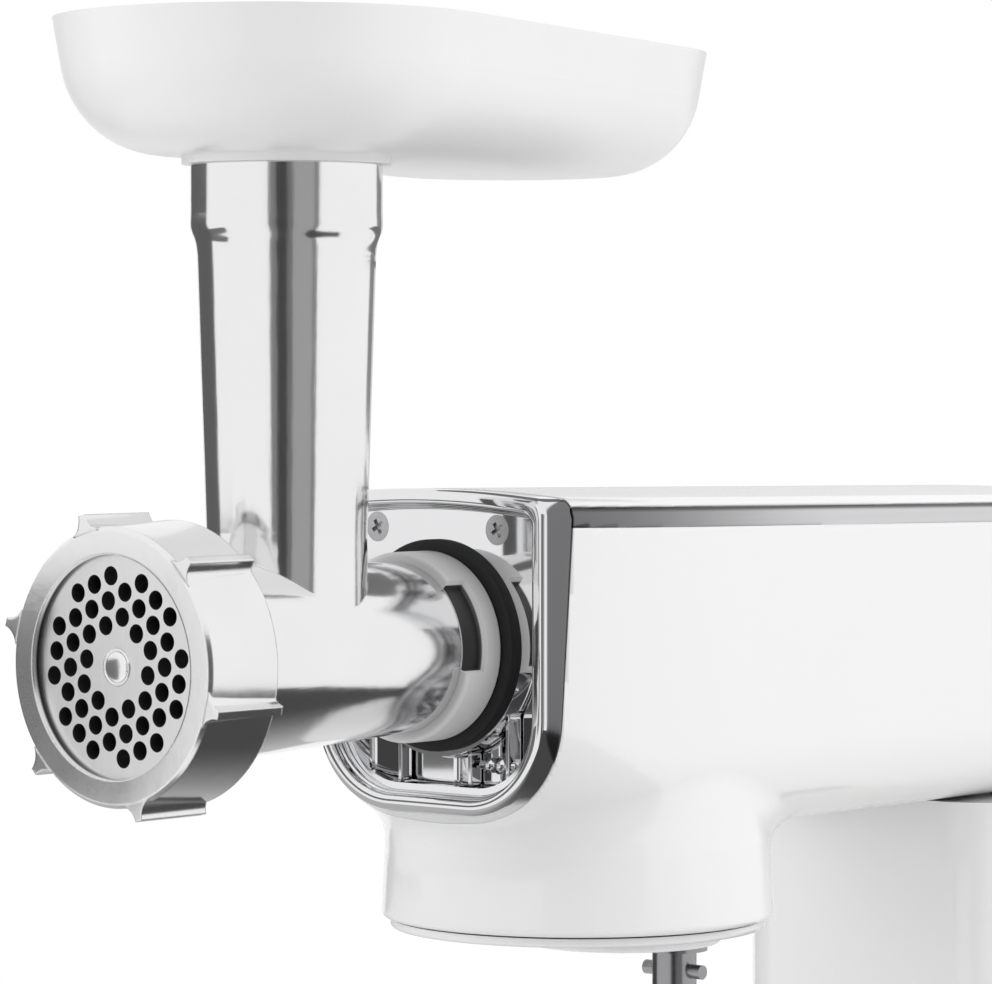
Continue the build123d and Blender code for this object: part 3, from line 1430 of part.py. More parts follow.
with BuildPart() as base_screws:
    with BuildSketch(Plane.XY.offset(base_bottom_z)):
        with Locations(*screw_spots):
            Circle(base_screw_head)
    extrude(amount=base_plate_thick / 2)
    with BuildSketch(Plane.XY.offset(base_bottom_z)):
        with Locations(*screw_spots):
            Circle(base_screw_radius)
    extrude(amount=base_screw_length)
base_screws.part.label = "base_screws"
export_step(base_screws.part, "parts/base_screws.step")

with BuildPart() as base_feet:
    with BuildSketch():
        with Locations(*foot_spots):
            Circle(foot_radius)
    extrude(amount=foot_height)
    with BuildSketch():
        with Locations(*foot_spots):
            Circle(foot_stud)
    extrude(amount=foot_height + base_plate_thick)
base_feet.part.label = "base_feet"
export_step(base_feet.part, "parts/base_feet.step")

with BuildPart() as bowl_seat:
    with BuildSketch(Plane.XY.offset(base_height - seat_thick)):
        with Locations((0, planet_y)):
            Circle(seat_radius)
    extrude(amount=seat_thick)
    with BuildSketch(Plane.XY.offset(base_height)):
        with Locations((0, planet_y)):
            Circle(seat_radius)
            Circle(seat_radius - seat_rim_width, mode=Mode.SUBTRACT)
            with PolarLocations(seat_radius, 4, start_angle=45):
                Rectangle(3 * seat_rim_width, 4 * seat_rim_width, mode=Mode.SUBTRACT)
    extrude(amount=seat_rim)
bowl_seat.part.label = "bowl_seat"
export_step(bowl_seat.part, "parts/bowl_seat.step")

with BuildPart() as cord_gland:
    with BuildSketch(facing(base_back_y, 0, gland_height)):
        Circle(gland_radius)
    extrude(amount=gland_length)
    with BuildSketch(facing(base_back_y, 0, gland_height)):
        Circle(gland_flange)
    extrude(amount=-gland_stick, taper=base_draft)
    with BuildSketch(facing(base_back_y + gland_stick, 0, gland_height)):
        Circle(gland_bore)
    extrude(amount=gland_length + gland_stick, mode=Mode.SUBTRACT)
cord_gland.part.label = "cord_gland"
export_step(cord_gland.part, "parts/cord_gland.step")

# Speed control: knob on the column's side, switch behind it and the board in the base
knob_face_x = column_half_width + 4 * clearance
with BuildPart() as speed_knob:
    with BuildSketch(Plane.YZ.offset(knob_face_x)):
        with Locations((column_middle_y, knob_height)):
            Circle(knob_radius)
    extrude(amount=knob_length - knob_grip)
    with BuildSketch(Plane.YZ.offset(knob_face_x)):
        with Locations((column_middle_y, knob_height)):
            SlotOverall(2 * knob_radius - 2.0, knob_grip, rotation=90)
    extrude(amount=knob_length)
    fillet(speed_knob.faces().sort_by(Axis.X)[-1].edges(), radius=grip_edge)
    with BuildSketch(Plane.YZ.offset(knob_face_x)):
        with Locations((column_middle_y, knob_height)):
            Circle(spindle_radius)
    extrude(amount=-switch_depth / 2)
speed_knob.part.label = "speed_knob"
export_step(speed_knob.part, "parts/speed_knob.step")

with BuildPart() as speed_switch:
    with BuildSketch(Plane.YZ.offset(column_inner - running)):
        with Locations((column_middle_y, knob_height)):
            RectangleRounded(switch_size, switch_size, 2 * grip_edge)
    extrude(amount=-switch_depth)
    with BuildSketch(Plane.YZ.offset(column_inner)):
        with Locations((column_middle_y, knob_height)):
            Circle(spindle_radius + running)
    extrude(amount=-switch_depth / 2, mode=Mode.SUBTRACT)
speed_switch.part.label = "speed_switch"
export_step(speed_switch.part, "parts/speed_switch.step")

board_z = plate_top_z + board_rise
chip_spots = [(-24.0, board_y - 8.0), (-24.0, board_y + 12.0)]
with BuildPart() as control_board:
    with BuildSketch(Plane.XY.offset(board_z)):
        with Locations((0, board_y)):
            Rectangle(board_width, board_length)
    extrude(amount=board_thick)
    with BuildSketch(Plane.XY.offset(board_z)):
        with Locations(*chip_spots):
            Circle(2 * foot_stud)
        with Locations((16.0, board_y)):
            Rectangle(switch_size, switch_depth / 2)
    extrude(amount=switch_depth / 2)
control_board.part.label = "control_board"
export_step(control_board.part, "parts/control_board.step")
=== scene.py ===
"""Kitchen grinder on its tilting drive unit: finishes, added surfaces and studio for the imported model."""

import math

import bmesh
import bpy
import numpy as np
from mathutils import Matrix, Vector


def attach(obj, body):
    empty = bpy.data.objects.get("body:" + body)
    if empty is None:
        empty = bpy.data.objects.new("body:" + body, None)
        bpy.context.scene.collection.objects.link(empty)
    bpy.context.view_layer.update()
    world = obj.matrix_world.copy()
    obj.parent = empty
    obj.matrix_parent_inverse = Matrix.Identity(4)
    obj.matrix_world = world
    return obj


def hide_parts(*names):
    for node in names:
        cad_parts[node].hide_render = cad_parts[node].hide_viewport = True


bl_info = {
    "name": "Grinder and drive unit",
    "version": (1, 0, 0),
    "blender": (4, 5, 0),
    "location": "View3D > Sidebar > Grinder",
    "description": "Dresses the grinder, its hub and its drive unit, and sets up the studio",
    "category": "Object",
}

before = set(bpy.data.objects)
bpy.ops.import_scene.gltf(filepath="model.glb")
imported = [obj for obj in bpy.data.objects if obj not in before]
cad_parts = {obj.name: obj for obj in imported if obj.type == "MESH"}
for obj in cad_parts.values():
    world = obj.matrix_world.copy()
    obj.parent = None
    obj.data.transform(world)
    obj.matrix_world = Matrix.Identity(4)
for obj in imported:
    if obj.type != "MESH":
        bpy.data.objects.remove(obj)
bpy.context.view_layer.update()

# Lengths are in metres. The grinder's axis runs along Y; its throat and the tool drive stand upright on X = 0.
AXIS_Z, THROAT_Y, PLANET_Y = 0.303, -0.1466, -0.030

# Picture width in pixels, camera sensor and the camera's turn about the upright
IMAGE_WIDTH, SENSOR_WIDTH = 992, 36.0
SIGHT = math.radians(41.0)
# Name, place, point aimed at, side and share of the key power of each softbox
LAMPS = (
    ("top_softbox", (0.1, -0.3, 2.0), (0.0, -0.05, 0.3), 1.6, 0.6),
    ("right_softbox", (1.35, 0.40, 1.25), (0.0, -0.05, 0.3), 1.0, 1.02),
    ("left_softbox", (-0.95, -1.65, 0.8), (0.0, -0.1, 0.3), 1.1, 1.12),
)
FLOOR_REACH, FLOOR_Z = 6.0, -0.0005
PAPER_GREYS, PAPER_FADE = (0.86, 0.88), (0.55, 1.05)
# Bearings in degrees from the camera's side, low and high edge and grey level of each studio screen
SCREEN_REACH = 1.9
SCREENS = (
    (-19.0, -10.0, -1.6, 0.90, 0.22),
    (-10.0, 3.0, -1.6, 0.90, 0.06),
    (3.0, 10.0, -1.6, 0.90, 0.17),
    (10.0, 36.0, -1.6, 0.90, 0.37),
    (36.0, 42.0, -1.6, 0.90, 0.21),
    (-158.0, -107.0, -0.90, 0.58, 0.12),
    (140.0, 160.0, 0.30, 0.58, 0.25),
    (160.0, 188.0, 0.20, 0.62, 0.70),
)
# Card under the barrel: ends along X, front and two back edges, where the back edge steps, and its greys
TABLE_CARD_Z, TABLE_CARD_ENDS = 0.2205, (-0.24, 0.30)
TABLE_CARD_FRONT, TABLE_CARD_BACKS, TABLE_CARD_STEP = -0.235, (-0.050, -0.005), (-0.035, 0.015)
TABLE_CARD_GREYS, TABLE_CARD_FADE = (0.07, 0.50), (-0.05, 0.06)
# Card under the tray: ends along X and Y, and its grey
UPPER_CARD_Z, UPPER_CARD_X, UPPER_CARD_Y, UPPER_CARD_GREY = 0.405, (-0.05, 0.035), (-0.108, 0.012), 0.18
# Card in front of the nut: distance, drop below the axis, reach across and up from its middle, and its grey
RIM_CARD_REACH, RIM_CARD_DROP, RIM_CARD_GREY = 0.30, 0.017, 0.17
RIM_CARD_ACROSS, RIM_CARD_UP = (-0.20, -0.012), (-0.052, 0.022)

# Nut: front face and radius of its mouth
NUT_FRONT, NUT_MOUTH = -0.210, 0.028
# Collar: front, rear against the seal, radius, bore and edge rounds
COLLAR_Y, SEAL_Y, COLLAR_RADIUS, COLLAR_BORE = -0.1040, -0.0910, 0.0254, 0.0190
COLLAR_FRONT_ROUND, COLLAR_REAR_ROUND, COLLAR_GAP = 0.0012, 0.0010, 0.0002
# Sunk flat of the collar: where it ends along Y, its depth, its two ends in degrees and how soft these are
FLAT_END, FLAT_DEPTH, FLAT_TURN, FLAT_SOFT = COLLAR_Y + 0.0066, 0.0028, (-13.0, 46.0), 0.5
# Hub: half width, top and bottom from the axis, corner rounds and rise of the arch
HUB_HALF_WIDTH, HUB_TOP, HUB_BOTTOM = 0.0410, 0.0420, 0.0450
HUB_CORNER, HUB_TOP_CORNER, HUB_ARCH = 0.0270, 0.0050, 0.0023
# Points along half the hub's outline: sill, lower corner, side, upper corner and arch
SILL_POINTS, CORNER_POINTS, SIDE_POINTS, FILLET_POINTS, ARCH_POINTS = 8, 29, 15, 13, 24
BEZEL_Y, BEZEL_SINK, BEZEL_LIP = -0.093, 0.00012, 0.0022
# Sloping nose behind the bezel, and the plane that cuts the head's skins there as a point and a normal
NOSE_DEPTH, NOSE_LEAN = 0.0090, 0.005 / 0.087
NOSE_CUT = ((0.0, BEZEL_Y + NOSE_DEPTH, AXIS_Z + HUB_TOP), (0.0, 1.0, -0.0575))
# Hub's lower pocket: floor, seal's seat, half width, bottom, corner round and highest edge of its webs
POCKET_Y, SEAT_RING = -0.0886, 0.0300
POCKET_HALF, POCKET_BOTTOM, POCKET_CORNER, POCKET_SHELF = 0.0334, 0.0374, 0.0194, -0.0062
WEB_POINTS, WEB_WALL = 9, 0.0005
# Radius and rise above the grinder's axis of the rolled edge under the throat's collar
THROAT_RING = np.array([
    [23.03, 103.0], [23.12, 103.7], [23.19, 104.4], [23.28, 105.1], [23.40, 105.8], [23.57, 106.5],
    [23.80, 107.2], [24.08, 107.9], [24.36, 108.6], [24.58, 109.3], [24.74, 109.9], [24.82, 110.5],
    [24.84, 111.3], [24.80, 112.4], [24.752, 113.6], [23.0, 113.6], [22.0, 110.0], [22.0, 103.5],
]) * 0.001
# Place along Y and radius of the cap on the cutter pin's end
PIN_PROFILE = np.array([
    [-207.0, 0.0], [-207.0, 4.74], [-207.75, 4.72], [-207.95, 4.55], [-208.0, 4.30], [-207.97, 4.10],
    [-207.72, 3.98], [-207.72, 3.78], [-207.97, 3.66], [-208.02, 3.40], [-208.1, 1.5], [-208.12, 0.0],
]) * 0.001
# Inset and depth of the bezel's profile, from the dish to the front edge of its outer side
BEZEL_PROFILE = np.array([
    [5.6, 4.35], [5.35, 3.2], [5.2, 2.75], [5.0, 2.45], [4.75, 2.35], [4.6, 2.2], [4.5, 1.7], [4.35, 0.9],
    [4.0, 0.35], [3.5, 0.05], [3.0, 0.0], [2.2, 0.0], [1.5, 0.05], [0.95, 0.2], [0.5, 0.5], [0.18, 0.95],
    [0.0, 1.6],
]) * 0.001
# Corners (x, depth) of the pocket's webs
POCKET_STEPS = np.array([
    [-33.2, 1.0], [-31.8, 1.0], [-31.6, 1.6], [-25.6, 6.5], [-25.4, 1.0], [-24.4, 1.0], [-24.2, 1.6],
    [-18.2, 6.5], [-16.0, 6.6], [-15.8, 2.2], [-14.8, 2.2], [-14.6, 6.6], [2.0, 6.6], [9.0, 4.2], [9.2, 2.2],
    [10.2, 2.2], [10.4, 6.6], [17.0, 6.6], [23.0, 3.4], [23.2, 1.4], [24.2, 1.4], [24.4, 6.6], [30.0, 6.6],
    [33.2, 3.0],
]) * 0.001
# Place along X and radius of the bayonet catch, and its axis as depth in the pocket and drop below the axis
CATCH_STEPS = np.array([
    [13.0, 0.0], [13.0, 1.1], [15.2, 1.1], [15.2, 2.0], [17.6, 2.0], [17.6, 1.2], [19.4, 1.2], [19.4, 2.4],
    [22.0, 2.4], [22.0, 1.3], [25.4, 1.3], [25.4, 0.0],
]) * 0.001
CATCH_DEPTH, CATCH_DROP = 0.0035, 0.0315

# Head: place along Y, half width, underside below the axis and lower corner round at each station
HEAD_STATIONS = np.array([
    [-96.0, 39.5, 44.2, 27.0], [-92.0, 41.2, 45.1, 27.0], [-86.5, 43.6, 46.6, 27.0], [-80.6, 45.8, 48.2, 27.0],
    [-72.0, 47.9, 50.4, 26.2], [-63.0, 49.6, 52.1, 25.4], [-52.0, 50.9, 53.0, 24.7], [-30.0, 52.0, 53.0, 24.0],
    [101.0, 52.0, 53.0, 24.0], [149.0, 50.4, 53.0, 22.4], [173.0, 47.4, 53.0, 21.0], [186.6, 43.4, 53.0, 19.5],
    [195.7, 38.6, 53.0, 18.0], [203.0, 32.0, 53.0, 16.0],
]) * 0.001
HEAD_TOP_ROUND, HEAD_WALL = 0.005, 0.0024
# Round tail about the hinge, and how far its edge is softened over which run
HINGE_Y, HINGE_Z, TAIL_ROUND = 0.157, 0.2955625, 0.0455625
TAIL_SOFT, TAIL_SOFT_RUN = 0.008, 0.02
# Low and high corners of the slot for the hinge arms under the tail, and how far round it faces are scored
HINGE_SLOT = ((-0.025, 0.140, 0.240), (0.025, 0.1971, 0.2728))
SLOT_MARGIN = 0.012
# Skirt: rim, top, radius, rim round and fillet; start, run, most and pull-in of its two slopes
SKIRT_Z, SKIRT_TOP, SKIRT_RADIUS, SKIRT_ROUND, SKIRT_FILLET = 0.2255, 0.272, 0.0545, 0.0015, 0.016
SKIRT_SLOPES = ((SKIRT_Z, 0.022, 1.0, 0.0012), (0.247, 0.027, 1.5, 0.0034))
# Cells of the head's grid that the skirt's patch replaces, the patch's rays and how they step to the surface
SKIRT_COLUMNS, SKIRT_ROWS, SKIRT_RAYS = (77, 163), 98, 64
RAY_STANDOFF, RAY_STEPS, RAY_STRIDE = 0.03, 260, 0.9
# Spine that the head's rays start from: height, reach, halvings of the reach and rays round it, and the start,
# end and count of its runs along Y and of the fan in degrees
SPINE_Z, SPINE_REACH, HALVINGS, HEAD_COLUMNS = 0.298, 0.13, 44, 240
SPINE_RUNS = ((-0.096, -0.045, 40), (-0.045, 0.045, 60), (0.045, 0.150, 30))
FAN_RUNS = ((0.0, 60.0, 26), (60.0, 89.6, 16))
# Seam of the top cover: fall along the head, height above the axis, height of the strip below it and gap
SEAM_FALL, COVER_SEAM, TRIM_HEIGHT, SEAM_GAP = 0.0155, 0.0378, 0.0054, 0.0004

TINY = 1e-6


class Value:
    """A shader socket that takes part in Python arithmetic; each operation adds one Math node."""

    def __init__(self, finish, socket):
        self.finish = finish
        self.socket = socket

    def math(self, operation, *values):
        return self.finish.node("ShaderNodeMath", {"operation": operation}, dict(enumerate(values)))

    def __add__(self, other):
        return self.math("ADD", self, other)

    def __radd__(self, other):
        return self.math("ADD", other, self)

    def __sub__(self, other):
        return self.math("SUBTRACT", self, other)

    def __rsub__(self, other):
        return self.math("SUBTRACT", other, self)

    def __mul__(self, other):
        return self.math("MULTIPLY", self, other)

    def __rmul__(self, other):
        return self.math("MULTIPLY", other, self)

    def absolute(self):
        return self.math("ABSOLUTE", self)

    def root(self):
        return self.math("SQRT", self)

    def rise(self, low, high):
        """A smooth step from 0 at low to 1 at high."""
        return self.finish.node(
            "ShaderNodeMapRange",
            {"interpolation_type": "SMOOTHSTEP", "clamp": True},
            {"Value": self, "From Min": low, "From Max": high, "To Min": 0.0, "To Max": 1.0},
        )


class Finish:
    """One procedural material with a Principled surface."""

    def __init__(self, name):
        self.material = bpy.data.materials.new(name)
        self.material.use_nodes = True
        self.tree = self.material.node_tree
        self.surface = next(node for node in self.tree.nodes if node.type == "BSDF_PRINCIPLED")

    def fill(self, socket, value):
        """Links a value to a socket, or sets a plain number or colour on it."""
        if isinstance(value, Value):
            self.tree.links.new(value.socket, socket)
        else:
            socket.default_value = value

    def node(self, kind, settings, values, out=0):
        """Adds a node, sets its settings first, then its socket values or links, and gives one output."""
        made = self.tree.nodes.new(kind)
        for key, setting in settings.items():
            setattr(made, key, setting)
        for key, value in values.items():
            self.fill(made.inputs[key], value)
        return Value(self, made.outputs[out])

    def place(self):
        """Object coordinates as x, y and z in metres, and the vector itself."""
        point = self.node("ShaderNodeTexCoord", {}, {}, "Object")
        x, y, z = (self.node("ShaderNodeSeparateXYZ", {}, {0: point}, axis) for axis in range(3))
        return x, y, z, point

    def noise(self, point, scale, detail=3.0, roughness=0.5, stretch=(1.0, 1.0, 1.0)):
        """Fractal noise from 0 to 1 at a scale in cells per metre, stretched per axis."""
        scaled = self.node("ShaderNodeMapping", {}, {"Vector": point, "Scale": stretch})
        values = {"Vector": scaled, "Scale": scale, "Detail": detail, "Roughness": roughness}
        return self.node("ShaderNodeTexNoise", {}, values)

    def blend(self, low, high, share):
        """Colour between low and high by a share from 0 to 1."""
        settings = {"data_type": "RGBA", "clamp_factor": True}
        return self.node("ShaderNodeMix", settings, {0: share, 6: low, 7: high}, 2)

    def vary(self, colour, darkest, share):
        """Colour between its darkest part and itself by a share from 0 to 1."""
        return self.blend(rgba(colour, darkest), rgba(colour), share)

    def bump(self, height, strength, distance, edge=0.0):
        """Normal from a height field, over edges that look rounded to a radius in metres."""
        values = {"Height": height, "Strength": strength, "Distance": distance}
        if edge > 0.0:
            values["Normal"] = self.node("ShaderNodeBevel", {"samples": 6}, {"Radius": edge})
        return self.node("ShaderNodeBump", {}, values)

    def set(self, **values):
        """Sets or links Principled sockets; underscores stand for spaces."""
        for key, value in values.items():
            self.fill(self.surface.inputs[key.replace("_", " ")], value)

    def coat(self, *nodes):
        """Puts the material on CAD nodes in place of their own."""
        for name in nodes:
            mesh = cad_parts[name].data
            mesh.materials.clear()
            mesh.materials.append(self.material)


def rgba(colour, share=1.0):
    """Opaque colour, darkened to a share of itself."""
    return (share * colour[0], share * colour[1], share * colour[2], 1.0)


def grey(level):
    """Opaque grey."""
    return (level, level, level, 1.0)


def gloss_paint(name, colour):
    """Sprayed enamel: faint tone drift, fine orange peel and a clear coat."""
    finish = Finish(name)
    point = finish.place()[3]
    drift = finish.noise(point, scale=9.0, detail=2.0)
    haze = finish.noise(point, scale=60.0, detail=2.0)
    peel = finish.noise(point, scale=420.0, detail=2.0)
    finish.set(
        Base_Color=finish.vary(colour, 0.985, drift),
        Roughness=0.235 + 0.04 * haze,
        Normal=finish.bump(peel, strength=0.06, distance=0.0004),
        Coat_Weight=0.6, Coat_Roughness=0.06, Specular_IOR_Level=0.5,
    )
    return finish


def satin_metal(name, colour, roughness, scale, stretch):
    """Metal with a drawn grain along one direction; gives the finish and its grain."""
    finish = Finish(name)
    grain = finish.noise(finish.place()[3], scale, detail=3.0, roughness=0.6, stretch=stretch)
    finish.set(
        Base_Color=finish.vary(colour, 0.88, grain),
        Metallic=1.0,
        Roughness=roughness - 0.05 + 0.1 * grain,
        Normal=finish.bump(grain, strength=0.08, distance=0.0002),
    )
    return finish, grain


def moulded_plastic(name, colour, roughness):
    """Moulded plastic with a fine spark grain."""
    finish = Finish(name)
    point = finish.place()[3]
    drift = finish.noise(point, scale=25.0, detail=2.0)
    grain = finish.noise(point, scale=1500.0, detail=2.0)
    finish.set(
        Base_Color=finish.vary(colour, 0.97, drift),
        Roughness=roughness - 0.03 + 0.06 * grain,
        Normal=finish.bump(grain, strength=0.05, distance=0.0002),
    )
    return finish


def colour_setting(name, description, default):
    """Colour that a user may change."""
    return bpy.props.FloatVectorProperty(
        name=name, description=description, subtype="COLOR", size=3, default=default, min=0.0, max=1.0)


class PaintSettings(bpy.types.PropertyGroup):
    """Colours of the painted and moulded surfaces."""

    body_white: colour_setting("Body white", "Gloss paint of the head and stand", (0.87, 0.87, 0.868))
    tray_white: colour_setting("Tray white", "Moulded plastic of the loading tray", (0.87, 0.87, 0.868))
    collar_grey: colour_setting("Collar grey", "Pale plastic of the collar behind the barrel", (0.62, 0.62, 0.62))
    rubber_black: colour_setting("Rubber black", "Seal, feet and cord gland", (0.012, 0.012, 0.013))


class MetalSettings(bpy.types.PropertyGroup):
    """Colours and gloss of the metals."""

    cast_colour: colour_setting("Cast aluminium", "Polished grinder body and nut", (0.87, 0.87, 0.87))
    cast_gloss: bpy.props.FloatProperty(
        name="Cast roughness", description="Roughness of the polished casting", subtype="FACTOR",
        default=0.13, min=0.0, max=1.0,
    )
    plate_colour: colour_setting("Cutter steel", "Brushed hole plate and knife", (0.90, 0.90, 0.90))
    chrome_colour: colour_setting("Chrome", "Bright plating of the hub", (0.80, 0.80, 0.81))
    strip_colour: colour_setting("Trim strip", "Satin strip along the head", (0.70, 0.70, 0.71))


class StudioSettings(bpy.types.PropertyGroup):
    """Camera and lights."""

    camera_place: bpy.props.FloatVectorProperty(
        name="Camera place", description="Where the camera stands", subtype="TRANSLATION", unit="LENGTH",
        size=3, default=(0.8011, -0.9860, 0.3766),
    )
    azimuth: bpy.props.FloatProperty(
        name="Azimuth", description="Turn of the view about the upright", subtype="ANGLE", default=SIGHT,
    )
    pitch: bpy.props.FloatProperty(
        name="Pitch", description="How far the view looks down", subtype="ANGLE", default=math.radians(1.553),
    )
    focal_pixels: bpy.props.FloatProperty(
        name="Focal length", description="Focal length in pixels of the picture", default=4500.0, min=100.0,
    )
    ambient: bpy.props.FloatProperty(
        name="Ambient", description="Strength of the white surroundings on matt surfaces", default=0.68, min=0.0,
    )
    key_power: bpy.props.FloatProperty(
        name="Key power", description="Power that each softbox takes its share of", subtype="POWER",
        default=9.0, min=0.0,
    )


def settings():
    """The three groups of settings on the scene."""
    scene = bpy.context.scene
    return scene.grinder_paint, scene.grinder_metal, scene.grinder_studio


def aim(place, target):
    """Turn that points an object's -Z from place to target."""
    return (Vector(target) - Vector(place)).to_track_quat("-Z", "Y").to_euler()


def full_turn(columns):
    """Even angles round a full turn, without the last, which is the first again."""
    return np.linspace(0.0, 2 * math.pi, columns + 1)[:-1]


def points_at(x, y, z):
    """Points from their coordinates, each spread over the whole grid."""
    return np.stack(np.broadcast_arrays(x, y, z), axis=-1)


def grid_faces(rows, columns, close_u=False, close_v=False):
    """Four-sided faces of a grid, as rows of point numbers, kept in their (row, column) order."""
    index = np.arange(rows * columns).reshape(rows, columns)
    if close_u:
        index = np.vstack([index, index[:1]])
    if close_v:
        index = np.hstack([index, index[:, :1]])
    return np.stack([index[:-1, :-1], index[1:, :-1], index[1:, 1:], index[:-1, 1:]], axis=-1)


def smooth(mesh):
    """Shades a whole mesh smooth."""
    mesh.polygons.foreach_set("use_smooth", np.ones(len(mesh.polygons), dtype=bool))
    mesh.update()


def sheet(name, points, faces, finish):
    """Smooth mesh object from points and faces."""
    mesh = bpy.data.meshes.new(name)
    mesh.from_pydata(points.reshape(-1, 3).tolist(), [], faces.reshape(-1, 4).tolist())
    smooth(mesh)
    mesh.materials.append(finish.material)
    made = bpy.data.objects.new(name, mesh)
    bpy.context.scene.collection.objects.link(made)
    return made


def surface(name, points, finish, close_u=False, close_v=False):
    """Mesh from a grid of points (rows u, columns v), joined round where a direction closes."""
    return sheet(name, points, grid_faces(*points.shape[:2], close_u, close_v), finish)


def joined(name, grids, finish):
    """One mesh from several grids that keep their own edges."""
    faces, points, start = [], [], 0
    for grid in grids:
        faces.append(grid_faces(*grid.shape[:2]).reshape(-1, 4) + start)
        points.append(grid.reshape(-1, 3))
        start += grid.shape[0] * grid.shape[1]
    return sheet(name, np.concatenate(points), np.concatenate(faces), finish)


def lathe(profile, columns):
    """Points of a profile of (y, radius) pairs turned about the grinder's axis."""
    turn = full_turn(columns)
    y, radius = profile[:, :1], profile[:, 1:]
    return points_at(radius * np.cos(turn), y, AXIS_Z + radius * np.sin(turn))


def inside(face, low, high):
    """True where a face's centre lies between two corners."""
    centre = np.array(face.calc_center_median())
    return bool(np.all(centre > low) and np.all(centre < high))


def trimmed(made, planes=(), slot=None):
    """Closes a piece's seams, turns its faces outwards and cuts it by planes, keeping the side each normal points
    to; a slot is a box, given by its low and high corners, whose faces are scored along its sides and taken out."""
    shape = bmesh.new()
    shape.from_mesh(made.data)
    bmesh.ops.remove_doubles(shape, verts=shape.verts[:], dist=TINY)
    stray = [vert for vert in shape.verts if not vert.link_faces]
    bmesh.ops.delete(shape, geom=stray, context="VERTS")
    if slot is not None:
        low, high = np.array(slot)
        for axis in range(3):
            for place in (low, high):
                near = [face for face in shape.faces if inside(face, low - SLOT_MARGIN, high + SLOT_MARGIN)]
                parts = list({part for face in near for part in (*face.verts, *face.edges, face)})
                bmesh.ops.bisect_plane(shape, geom=parts, plane_co=place, plane_no=np.eye(3)[axis])
        gone = [face for face in shape.faces if inside(face, low, high)]
        bmesh.ops.delete(shape, geom=gone, context="FACES")
    for place, normal in planes:
        parts = shape.verts[:] + shape.edges[:] + shape.faces[:]
        bmesh.ops.bisect_plane(shape, geom=parts, plane_co=place, plane_no=normal, clear_inner=True)
    bmesh.ops.recalc_face_normals(shape, faces=shape.faces[:])
    shape.to_mesh(made.data)
    shape.free()
    smooth(made.data)


def thicken(made, thickness):
    """Gives an open skin a wall on its inner side."""
    wall = made.modifiers.new("wall", "SOLIDIFY")
    wall.thickness = thickness
    wall.offset = -1.0


